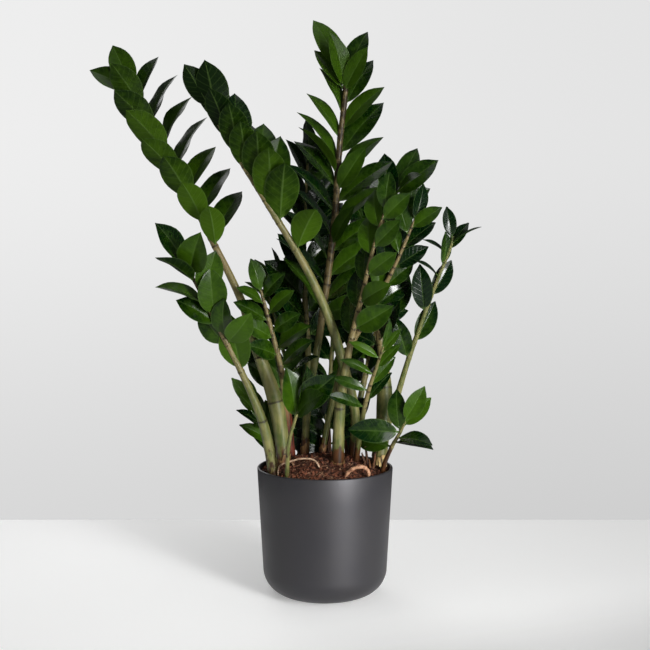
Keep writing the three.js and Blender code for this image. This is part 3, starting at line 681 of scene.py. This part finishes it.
def power_of(name, description, default):
    return bpy.props.FloatProperty(name=name, description=description, unit="POWER",
                                   default=default)


def count_of(name, description, default, least=0):
    return bpy.props.IntProperty(name=name, description=description, default=default, min=least)


class PotLook(bpy.types.PropertyGroup):
    """The turned pot."""

    sides: count_of("Sides", "Flat sides round the pot", 160, 48)
    colour: colour_of("Colour", "Coat of the pot", 48, 47, 51)
    haze: colour_of("Haze", "Lighter patches of the coat", 55, 53, 54)
    roughness: share_of("Roughness", "How soft the pot's highlight is", 0.46)
    metal: share_of("Metal", "How metallic the coat looks", 0.5)


class SoilLook(bpy.types.PropertyGroup):
    """The coir bed."""

    crumbs: count_of("Crumbs", "Loose crumbs on the bed", 1500)
    fibres: count_of("Fibres", "Loose fibres on the bed", 420)
    damp: colour_of("Damp", "Dark parts of the soil", 52, 30, 21)
    crumb: colour_of("Crumb", "Red-brown crumbs", 112, 66, 46)
    fibre: colour_of("Fibre", "Pale fibres", 168, 130, 100)


class LeafLook(bpy.types.PropertyGroup):
    """The leaflets."""

    upper_deep: colour_of("Deep upper side", "Oldest leaflets from above", 2, 23, 3)
    upper_fresh: colour_of("Fresh upper side", "Youngest leaflets from above", 47, 74, 5)
    under_deep: colour_of("Deep underside", "Oldest leaflets from below", 10, 29, 2)
    under_fresh: colour_of("Fresh underside", "Youngest leaflets from below", 53, 79, 9)
    vein: colour_of("Veins", "Midrib and side veins", 80, 104, 50)
    upper_roughness: share_of("Upper roughness", "How soft the upper side's gloss is", 0.2)
    under_roughness: share_of("Under roughness", "How soft the underside's gloss is", 0.4)
    wax: share_of("Wax", "Weight of the waxy coat on the darkest leaflets", 0.3)
    rim: share_of("Rim", "How pale the thin edge of a blade is", 0.3)
    stray: bpy.props.FloatProperty(name="Stray", description="Extra twist of single leaflets",
                                   subtype="ANGLE", default=math.radians(7))


class StemLook(bpy.types.PropertyGroup):
    """The stems."""

    green: colour_of("Green", "Fleshy green", 68, 80, 35)
    pale: colour_of("Pale", "Pale streaks", 115, 111, 66)
    blush: colour_of("Blush", "Straw-brown of the upper stems", 112, 98, 64)
    fleck: colour_of("Fleck", "Dark flecks", 50, 54, 26)
    scar: colour_of("Scar", "Ring scars, leaflet joints and dark streaks", 32, 23, 12)
    earth: colour_of("Earth", "Brown skin at the soil", 72, 42, 18)


class StageLook(bpy.types.PropertyGroup):
    """Floor, light and camera."""

    floor: colour_of("Floor", "Pale floor", 236, 236, 235)
    glow: share_of("Glow", "Light of its own that the floor gives off", 0.33)
    # Painted shade: the backdrop is darker at the right than at the left, and darker near the
    # floor.
    left_back: colour_of("Left backdrop", "Pale backdrop at the left", 238, 238, 238)
    right_back: colour_of("Right backdrop", "Pale backdrop at the right", 228, 228, 228)
    shade: share_of("Shade", "How much darker the backdrop is near the floor", 0.21)
    key: power_of("Key light", "Tall softbox at the right front", 118)
    strip: power_of("Strip light", "Low narrow softbox", 3.5)
    top: power_of("Top light", "Softbox overhead", 12)
    back: power_of("Back light", "Weak softbox behind", 32)
    ambient: share_of("Ambient", "Light from all round", 0.1)


LOOKS = {"zz_pot": PotLook, "zz_soil": SoilLook, "zz_leaf": LeafLook, "zz_stem": StemLook,
         "zz_stage": StageLook}


# ---- pot and soil ----
def cup_outline(inset, bottom, top, steps):
    """Half section of the cup, drawn "inset" inside the pot's outer skin, as (radius, z)."""
    lean = math.atan2(POT["rim"] - POT["foot"], POT["height"])
    middle = POT["foot"] - POT["round"] * (1 - math.sin(lean)) / math.cos(lean)
    radius, drop = POT["round"] - inset, POT["round"] - bottom
    start = -math.asin(drop / radius) if drop < radius else -math.pi / 2
    arc = [(middle + radius * math.cos(a), POT["round"] + radius * math.sin(a))
           for a in np.linspace(start, -lean, steps)]
    side = POT["rim"] - inset / math.cos(lean) - (POT["height"] - top) * math.tan(lean)
    return [(0, bottom), *arc, (side, top)]


SOIL_EDGE_Z = POT["height"] - SOIL["drop"]
SOIL_SIDE = cup_outline(POT["wall"] + SOIL["gap"], POT["floor"] + SOIL["gap"], SOIL_EDGE_Z, 8)
SOIL_EDGE = SOIL_SIDE[-1][0]


def soil_height(x, y):
    return SOIL_EDGE_Z + SOIL["mound"] * (1 - min(1, math.hypot(x, y) / SOIL_EDGE) ** 2)


def turned(outline, sides):
    """Rings of points from an outline of (radius, z) about the upright axis."""
    turns = np.arange(sides) * FULL_TURN / sides
    return [np.column_stack([max(r, 0.01) * np.cos(turns), max(r, 0.01) * np.sin(turns),
                             np.full(sides, z)]) for r, z in outline]


class ZZ_OT_turn_pot(bpy.types.Operator):
    """Turn the tapered pot with its soft lower edge and thin rounded rim"""

    bl_idname = "zz.turn_pot"
    bl_label = "Turn pot"

    def execute(self, context):
        look = context.scene.zz_pot
        lip = 2.4
        shoulder = POT["height"] - lip
        *outside, low, high = cup_outline(0, 0, shoulder, 22)
        inside = cup_outline(POT["wall"], POT["floor"], shoulder, 12)[::-1]
        middle, half = (high[0] + inside[0][0]) / 2, (high[0] - inside[0][0]) / 2
        wall = [(mix(low[0], high[0], s), mix(low[1], high[1], s)) for s in (0.25, 0.5, 0.75)]
        rim = [(middle + half * math.cos(a), shoulder + lip * math.sin(a))
               for a in np.linspace(0, math.pi, 9)[1:-1]]
        rings = turned([*outside, low, *wall, high, *rim, *inside], look.sides)
        Shape().tube(rings).piece("pot_satin", [pot_finish(look)], "pot", "pot")
        return {"FINISHED"}


class ZZ_OT_fill_soil(bpy.types.Operator):
    """Fill the pot with a rough mound of coir, its loose crumbs and its fibres"""

    bl_idname = "zz.fill_soil"
    bl_label = "Fill soil"

    def execute(self, context):
        look = context.scene.zz_soil
        coir = coir_finish(look)
        self.bed(coir)
        self.litter(look, coir)
        return {"FINISHED"}

    def bed(self, coir):
        """The mound, rough all over and a little smoother at its very middle."""
        sides, rows, smooth_rows = 150, 45, 2
        reaches = SOIL_EDGE * (1 - np.linspace(0, 1, rows + 1)[1:]) ** 0.9
        rings = turned([*SOIL_SIDE, *[(r, soil_height(r, 0)) for r in reaches]], sides)
        bumps = [(wobble(k), wobble(k + 0.2), wobble(k + 0.4) * 3) for k in range(1, 60)]
        for i, ring in enumerate(rings[len(SOIL_SIDE):]):
            rough = 1 if i < rows - smooth_rows else 0.3
            for j, (x, y, z) in enumerate(ring):
                rise = sum(math.sin(x * a * 0.5 + y * b * 0.5 + c) for a, b, c in bumps) * 0.2
                grit = wobble(i * (sides + 1) + j + 0.37) * 0.9
                ring[j, 2] = z + (rise + grit) * rough
        Shape().tube(rings, (0.4, 0, 0), pointed=True).piece("soil_coir", [coir], "soil", "soil")

    def litter(self, look, coir):
        """Loose crumbs and fibres, strewn over the mound."""
        draw = np.random.default_rng(7)
        signs = np.array([(a, b, c) for a in (-1, 1) for b in (-1, 1) for c in (-1, 1)], float)
        walls = [(0, 1, 3, 2), (4, 6, 7, 5), (0, 4, 5, 1), (2, 3, 7, 6), (0, 2, 6, 4),
                 (1, 5, 7, 3)]
        shape = Shape()

        def strewn(margin):
            reach = (SOIL_EDGE - margin) * math.sqrt(draw.random())
            turn = draw.random() * FULL_TURN
            return reach * math.cos(turn), reach * math.sin(turn)

        for _ in range(look.crumbs):
            x, y = strewn(3)
            size = 0.9 + 2.2 * draw.random() ** 2
            centre = np.array([x, y, soil_height(x, y) + size * 0.35])
            block = signs * size * (0.5 + 0.5 * draw.random((8, 3)))
            block = block @ np.array(Matrix.Rotation(draw.random() * 6, 3,
                                                     Vector(draw.random(3) - 0.5)))
            pale = 0.8 if draw.random() > 0.97 else 0.0
            shape.add(centre + block, (draw.random(), pale, 0), walls, [0] * 6)
        for _ in range(look.fibres):
            x, y = strewn(8)
            heading, length = draw.random() * FULL_TURN, 5 + 11 * draw.random()
            ahead, aside = math.cos(heading), math.sin(heading)
            bow, pale = (draw.random() - 0.5) * 5 * 4, draw.random() ** 2
            rings = []
            for s in np.linspace(-0.5, 0.5, 5):
                px = x + length * s * ahead - bow * s * s * aside
                py = y + length * s * aside + bow * s * s * ahead
                middle = np.array([px, py, soil_height(px, py) + 1.4 - 5 * s * s * draw.random()])
                rings.append(round_ring(middle, (0, 0, 1), (-aside, ahead, 0), 0.35, [1] * 3))
            shape.tube(rings, (draw.random(), pale, 0))
        shape.piece("soil_litter", [coir], "soil", "soil", sharp=20)


class ZZ_OT_lay_roots(bpy.types.Operator):
    """Lay the two surface roots and the dry stubs of old stalks"""

    bl_idname = "zz.lay_roots"
    bl_label = "Lay surface roots"

    def execute(self, context):
        finishes = {"root_loop": root_finish("tan_root", paint(172, 130, 98), paint(112, 72, 50)),
                    "root_thin": root_finish("pale_root", paint(176, 148, 120),
                                             paint(126, 98, 76))}
        rows, sides = 60, 12
        for name, root in SURFACE_ROOTS.items():
            line = Route(root["stops"], even=False)
            rings = []
            for i, u in enumerate(np.linspace(0, 1, rows)):
                along = line.along(u)
                side = unit(np.cross(along, (0.3, 1, 0.2)))
                swell = 1 + 0.1 * math.sin(i * 0.9) + 0.05 * wobble(i + root["radius"])
                grow = [swell * (1 + 0.05 * wobble(i * sides + k)) for k in range(sides)]
                rings.append(round_ring(line.point(u), side, np.cross(along, side),
                                        root["radius"], grow))
            Shape().tube(rings).piece(name + "_bark", [finishes[name]], "root", name)
        self.old_stalks()
        return {"FINISHED"}

    def old_stalks(self):
        sides, rows, sunk = 9, 8, 3
        shape = Shape()
        for n, (x, y, height, radius) in enumerate(OLD_STALKS):
            lean = unit(np.array([0.3 * wobble(n + 0.2), 0.25 * wobble(n + 0.4), 1]))
            foot = np.array([x, y, soil_height(x, y) - sunk])
            rings = []
            for i, share in enumerate(np.linspace(0, 1, rows)):
                grow = [1 + 0.16 * wobble(n * sides + k) + 0.08 * wobble(i * sides + k)
                        for k in range(sides)]
                rings.append(round_ring(foot + lean * (height + sunk) * share, (1, 0, 0),
                                        (0, 1, 0), radius * (1.3 - 0.6 * share ** 0.5), grow))
            rings[-1][:, 2] += [3 * wobble(n * sides + k + 0.7) for k in range(sides)]
            shape.tube(rings, (0.45, 0.4, 0))
        shape.piece("old_stalks", [sheath_finish()], "root", "soil", sharp=50)


# ---- fronds ----
Leaflet = namedtuple("Leaflet", "side u pitch lift roll length key")


def leaflets_of(stem):
    """Every leaflet of a frond, with the angles that it has before it is swung clear."""
    frond, first = stem.frond, stem.index * HUNDRED
    found = [Leaflet(*leaflet, first + EXTRA_KEY) for leaflet in frond.extra]
    for k in range(frond.pairs):
        for side, rank in ((-1, frond.left), (1, frond.right)):
            key, a = first + 2 * k + (side > 0), k / (frond.pairs - 1)
            step = (k + (RANK["offset"] if side > 0 else 0)) / (frond.pairs - RANK["spare"])
            angles = [angle + most * frond.loose * wobble(key + 0.3 * n) for n, (angle, most)
                      in enumerate(zip(through(*np.array(rank, float), a), RANK["stray"]))]
            length = through(*frond.leaf, a) * (1 + RANK["growth"] * wobble(key + 0.8))
            found.append(Leaflet(side, mix(frond.bare, RANK["end"], step), *angles, length, key))
    pitch, roll, length = frond.tip
    found.append(Leaflet(-1, TIP_PLACE, pitch, 0, roll, length, first + TIP_KEY))
    return found


def half_width(t, full, width, least):
    """Half the width of a blade at share t of its length."""
    return max(math.sin(math.pi * t ** BLADE["early"]) ** full * width / 2, least)


class Pose:
    """Where a leaflet starts and how it lies, after a swing."""

    def __init__(self, stem, leaflet, swing):
        along, face, across = stem.axes(leaflet.u)
        radius, side = stem.radius(leaflet.u), leaflet.side
        pitch, lift, roll = (math.radians(angle + by) for angle, by in zip(leaflet[2:5], swing))
        outward = across * side * math.cos(lift) + face * math.sin(lift)
        self.ahead = along * math.cos(pitch) + outward * math.sin(pitch)
        flat = face * math.cos(lift) - across * side * math.sin(lift)
        self.upper = (flat * math.cos(roll)
                      - np.cross(self.ahead, flat) * side * math.sin(roll))
        self.sideways = np.cross(self.ahead, self.upper)
        self.root = stem.chord(leaflet.u) + outward * radius * STALK["inside"]
        self.stalk = radius * STALK["share"] + STALK["outside"]
        self.length = leaflet.length * swing[3]
        self.width = self.length * stem.frond.wide

    def spine(self, t):
        """The middle of the leaflet at share t of the blade, before it arches."""
        return self.root + self.ahead * (self.stalk + self.length * t)

    def arch(self, t):
        return BLADE["arch"] * self.length * t * (1 - BLADE["droop"] * t)

    def solid_marks(self):
        """The corners of the packed leaflet's solid: its tip and its edges."""
        yield self.spine(1) + self.upper * self.arch(1)
        for t in LONG_STATIONS if self.length >= LONG_BLADE else SHORT_STATIONS:
            half = half_width(t, BLADE["full"], self.width, BLADE["least"])
            for v in (-1, 1):
                yield (self.spine(t) + self.upper * (self.arch(t) + BLADE["fold"] * half)
                       + self.sideways * v * half)


def settled(stem, leaflet, corners):
    """The leaflet's pose in the packed solid: that of the swing with the most marks on the
    solid's corners, or nothing where none has more than two there."""
    best, most, near = None, 2, 0.4 * MM
    for swing in SWINGS:
        pose = Pose(stem, leaflet, swing)
        hits = sum(corners.find(mark * MM)[2] < near for mark in pose.solid_marks())
        if hits > most:
            best, most = pose, hits
    return best


ACROSS = np.array([-1, -0.9, -0.66, -0.36, -0.08, 0, 0.08, 0.36, 0.66, 0.9, 1])
ALONG = [0, 0.035, 0.08, 0.15, 0.24, 0.34, 0.45, 0.56, 0.67, 0.77, 0.86, 0.93, 0.975]
# Half widths of the stalk and of the blade where it starts, half thicknesses of both, and how
# deep the midrib's groove above and its ridge below are.
FLESH = {"stalk": 1.8, "heel": 1.9, "round": 1.3, "thin": 0.62, "groove": 0.35, "ridge": 0.6}
TINT_STRAY = 0.36


def grow_leaflet(shape, pose, key, tint, stray):
    """A fleshy, folded and slightly waved blade on its short stalk."""
    twist = stray * wobble(key + 0.11)
    fold = BLADE["fold"] * (1.5 + 0.6 * wobble(key + 0.21))
    hook = 0.02 * (1 + wobble(key + 0.31))
    wave, beat = 0.9 + 0.6 * wobble(key + 0.41), 6 * wobble(key + 0.51)
    bend = 0.05 * wobble(key + 0.61)
    start, heel = -pose.stalk / pose.length, -0.02
    rows = [(start, FLESH["stalk"] - 0.1), (start / 2, FLESH["stalk"]), (heel, FLESH["stalk"]),
            *[(t, half_width(t, BLADE["full"] + 0.5 * t ** 8, pose.width, FLESH["heel"]))
              for t in ALONG], (1, 0.02)]
    shares = np.concatenate([ACROSS, ACROSS[-2:0:-1]])
    rings, marks = [], []
    for t, width in rows:
        out, blade = max(0, t), t >= 0
        thick = mix(FLESH["round"], FLESH["thin"], ease(heel, 0.12, t)) * (1 - 0.5 * out ** 4)
        turn = twist * out
        up = pose.upper * math.cos(turn) + pose.sideways * math.sin(turn)
        side = pose.sideways * math.cos(turn) - pose.upper * math.sin(turn)
        arch = blade * pose.arch(t) - hook * pose.length * out ** 3
        spine = (pose.spine(t) + pose.upper * arch
                 + pose.sideways * bend * pose.length * out * (1 - out))
        half = width * ACROSS
        waves = wave * (half / 18) ** 2 * np.sin(beat + 9 * t + np.sign(half) * 1.3)
        lift = fold * np.abs(half) ** 1.15 * width ** -0.15 + waves
        body = thick * np.sqrt(1 - ACROSS ** 2)
        top = lift + body - blade * FLESH["groove"] * (1 - t) * (ACROSS == 0)
        low = lift - body - blade * FLESH["ridge"] * (1 - t) * (ACROSS == 0)
        heights = np.concatenate([top, low[-2:0:-1]])
        rings.append(spine + np.outer(heights, up) + np.outer(width * shares, side))
        marks.append([(t, share, tint) for share in shares])
    shape.tube(rings, marks, lambda column: int(column >= len(ACROSS) - 1), pointed=True)


def grow_stem(stem, leaflets):
    """The stem with a swelling and a dark ring at each leaflet and scar."""
    frond, sides, joint_half, skin_low, skin_high = stem.frond, 14, 2.4, 232, 294
    nodes = [leaflet.u for leaflet in leaflets]
    reach = joint_half / stem.route.length
    near = [u + by * reach for u in (*nodes, *frond.scars) for by in (-1, -0.35, 0.35, 1)]
    shares = sorted({round(float(u), 5) for u in (*np.linspace(0, 1, 56), *near) if 0 <= u <= 1})
    rings, marks = [], []
    for i, u in enumerate(shares):
        _, face, across = stem.axes(u)
        centre = stem.route.point(u)
        joint, scar = nearness(u, nodes, reach), nearness(u, frond.scars, reach)
        radius = stem.radius(u) * (1 + 0.13 * joint + 0.04 * scar + 0.012 * wobble(i))
        rings.append(round_ring(centre, face, across, radius,
                                [1 + 0.015 * wobble(i * sides + k) for k in range(sides)]))
        warm = frond.warm * ease(0.2, frond.bare + 0.08, u)
        earth = 1.6 * frond.brown * (1 - ease(skin_low, skin_high, centre[2]))
        bark = frond.bark * ease(0.42, 0.6, u) * (1 + 0.3 * wobble(i * 3))
        ring = max(joint * (0.35 + 0.5 * frond.warm), scar, bark)
        marks.append([(ring, warm, earth)])
    return Shape().tube(rings, marks)


def wrap_sheath(stem, height, red, flare, pale=0):
    """A thin torn sleeve of dry skin round the stem's base."""
    sides, rows, foot = 20, 9, 226
    start, end = stem.share_at_height(foot), stem.share_at_height(foot + 10 + height)
    outer, inner, marks = [], [], []
    tears = [0.55 + 0.45 * abs(wobble(stem.index * sides + k // 2)) for k in range(sides)]
    for share in np.arange(rows) / (rows - 1):
        walls = ([], [])
        for k in range(sides):
            u = mix(start, end, share * tears[k])
            _, face, across = stem.axes(u)
            turn = FULL_TURN * k / sides
            out = face * math.cos(turn) + across * math.sin(turn)
            loose = 0.5 + flare * share ** 2 * (0.6 + 0.4 * wobble(k + 0.5))
            for wall, thick in zip(walls, (0.5, 0.0)):
                wall.append(stem.route.point(u) + out * (stem.radius(u) + loose + thick))
        outer.append(walls[0])
        inner.append(walls[1])
        marks.append([(red, share, pale)] * sides)
    rings, marks = np.array(outer + inner[::-1]), np.array(marks + marks[::-1])
    rows *= 2
    faces = [(i * sides + k, i * sides + (k + 1) % sides,
              (i + 1) % rows * sides + (k + 1) % sides, (i + 1) % rows * sides + k)
             for i in range(rows) for k in range(sides)]
    return Shape().add(rings.reshape(-1, 3), marks.reshape(-1, 3), faces, [0] * len(faces))


class ZZ_OT_grow_fronds(bpy.types.Operator):
    """Grow each frond's stem and leaflets where its solid stands"""

    bl_idname = "zz.grow_fronds"
    bl_label = "Grow fronds"

    def execute(self, context):
        look = context.scene.zz_leaf
        leaf = [leaf_finish(look, False), leaf_finish(look, True)]
        skin = stem_finish(context.scene.zz_stem)
        missing = []
        for stem in stems():
            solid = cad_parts[stem.name].data.vertices
            corners = KDTree(len(solid))
            for i, vertex in enumerate(solid):
                corners.insert(vertex.co, i)
            corners.balance()
            leaves, kept = Shape(), []
            for leaflet in leaflets_of(stem):
                pose = settled(stem, leaflet, corners)
                if pose is None:
                    missing.append((stem.name, round(leaflet.u, 3)))
                    continue
                kept.append(leaflet)
                young = ease(stem.frond.bare, 1, leaflet.u)
                tint = (stem.frond.fresh + stem.frond.rise * (young - 0.5)
                        + TINT_STRAY * wobble(leaflet.key + 0.9))
                grow_leaflet(leaves, pose, leaflet.key, tint, look.stray)
            leaves.piece(stem.name + "_leaflets", leaf, "foliage", stem.name, sharp=55)
            grow_stem(stem, kept).piece(stem.name + "_stem", [skin], "foliage", stem.name)
        print("leaflets without a solid:", missing)
        return {"FINISHED"}


class ZZ_OT_wrap_sheaths(bpy.types.Operator):
    """Wrap the dry sheaths round the stems that still have one"""

    bl_idname = "zz.wrap_sheaths"
    bl_label = "Wrap sheaths"

    def execute(self, context):
        dry = sheath_finish()
        for stem in stems():
            if stem.frond.sheath:
                sleeve = wrap_sheath(stem, *stem.frond.sheath)
                sleeve.piece(stem.name + "_sheath", [dry], "root", stem.name, sharp=60)
        return {"FINISHED"}


# ---- stage ----
def softbox(name, place, target, size, spread, power):
    light = bpy.data.lights.new(name, "AREA")
    light.shape, light.size, light.size_y = "RECTANGLE", *size
    light.energy, light.spread = power, math.radians(spread)
    made = bpy.data.objects.new(name, light)
    made.location = place
    made.rotation_euler = (Vector(target) - Vector(place)).to_track_quat("-Z", "Y").to_euler()
    bpy.context.scene.collection.objects.link(made)


class ZZ_OT_set_stage(bpy.types.Operator):
    """Set the pale floor, the soft studio light and the camera"""

    bl_idname = "zz.set_stage"
    bl_label = "Set stage"

    def execute(self, context):
        look = context.scene.zz_stage
        self.floor(look)
        self.air(look)
        for name, box in SOFTBOXES.items():
            softbox(name + "_softbox", *box, getattr(look, name))
        camera = bpy.data.cameras.new("camera")
        camera.sensor_width, camera.lens = CAMERA["sensor"], CAMERA["lens"]
        camera.clip_end = CAMERA["far"]
        seen = bpy.data.objects.new("camera", camera)
        seen.location = CAMERA["place"]
        seen.rotation_euler = (math.radians(90 - CAMERA["down"]), 0, 0)
        context.scene.collection.objects.link(seen)
        context.scene.camera = seen
        context.scene.view_settings.view_transform = "Standard"
        return {"FINISHED"}

    def floor(self, look):
        """A pale tabletop with a rounded back edge. Painted shade darkens its colour towards the
        right front. It also glows with painted light of its own, whiter towards the left.
        """
        finish = Finish("pale_floor")
        haze = finish.cloud(0.4, 2, 0.5)
        right, away, _ = finish.parts(finish.add("ShaderNodeTexCoord", out="Object"))
        # Painted shade: the floor's colour darkens towards black at the right front.
        painted_floor_shade = finish.band(right * 0.6 - away * 1.6, 0.25, 0.9, 0.0, 0.33)
        colour = finish.layers(look.floor, (haze * 0.2, paint(226, 226, 228)), (painted_floor_shade, (0, 0, 0)))
        # Painted light: the floor gives off light of its own, whiter towards the left and carrying
        # the painted shade at the right front.
        glow = finish.blend(finish.band(right, -0.7, 0.2), (1, 1, 1), colour)
        material = finish.surface({"Base Color": colour, "Roughness": 0.6,
                                   "Specular IOR Level": 0.2, "Emission Color": glow,
                                   "Emission Strength": look.glow})
        reach, back, curve, thick = FLOOR.values()
        edge = [(back + curve * math.sin(a), curve * math.cos(a) - curve)
                for a in np.linspace(0, math.pi / 2, 14)]
        profile = [(-reach, 0), (0, 0), *edge, (back + curve, -thick), (-reach, -thick)]
        points = [(x, y, z) for x in (-reach, reach) for y, z in profile]
        count = len(profile)
        faces = [(i, (i + 1) % count, count + (i + 1) % count, count + i) for i in range(count)]
        faces += [tuple(range(count))[::-1], tuple(range(count, 2 * count))]
        mesh = bpy.data.meshes.new("floor")
        mesh.from_pydata(points, [], faces)
        mesh.materials.append(material)
        made = bpy.data.objects.new("floor", mesh)
        bpy.context.scene.collection.objects.link(made)

    def air(self, look):
        """Pale backdrop for the eye, with painted shade that darkens it towards the right and near
        the floor, and dimmer light from all round for the plant.
        """
        world = bpy.data.worlds.new("studio_air")
        world.use_nodes = True
        bpy.context.scene.world = world
        finish = Finish("studio_air", world.node_tree)
        right, _, up = finish.parts(finish.add("ShaderNodeTexCoord", out="Generated"))
        # Painted shade: the backdrop darkens from the left to the right and towards the floor.
        wall = finish.layers(look.left_back, (finish.band(right, -0.3, 0.3), look.right_back),
                             (finish.band(up, -0.3, 0.1, look.shade, 0.0), (0, 0, 0)))
        seen, lit = (finish.add("ShaderNodeBackground", sockets={"Color": colour, "Strength": glow})
                     for colour, glow in ((wall, 1.0), ((1, 1, 1), look.ambient)))
        eye = finish.add("ShaderNodeLightPath", out="Is Camera Ray")
        shown = finish.add("ShaderNodeMixShader", sockets={"Fac": eye, 1: lit, 2: seen})
        finish.add("ShaderNodeOutputWorld", sockets={"Surface": shown})


OPERATORS = (ZZ_OT_turn_pot, ZZ_OT_fill_soil, ZZ_OT_lay_roots, ZZ_OT_grow_fronds,
             ZZ_OT_wrap_sheaths, ZZ_OT_set_stage)


class ZZ_PT_plant(bpy.types.Panel):
    """Sizes, colours and pieces of the plant."""

    bl_label = "ZZ plant"
    bl_idname = "ZZ_PT_plant"
    bl_space_type = "VIEW_3D"
    bl_region_type = "UI"
    bl_category = "ZZ plant"

    def draw(self, context):
        for operator in OPERATORS:
            self.layout.operator(operator.bl_idname)
        for name, group in LOOKS.items():
            box = self.layout.box()
            box.label(text=group.__doc__)
            for key in group.__annotations__:
                box.prop(getattr(context.scene, name), key)


CLASSES = (*LOOKS.values(), *OPERATORS, ZZ_PT_plant)


def register():
    for cls in CLASSES:
        bpy.utils.register_class(cls)
    for name, group in LOOKS.items():
        setattr(bpy.types.Scene, name, bpy.props.PointerProperty(type=group))


def unregister():
    for name in LOOKS:
        delattr(bpy.types.Scene, name)
    for cls in reversed(CLASSES):
        bpy.utils.unregister_class(cls)


def main():
    register()
    for operator in OPERATORS:
        group, action = operator.bl_idname.split(".")
        getattr(getattr(bpy.ops, group), action)()


if __name__ == "__main__":
    main()
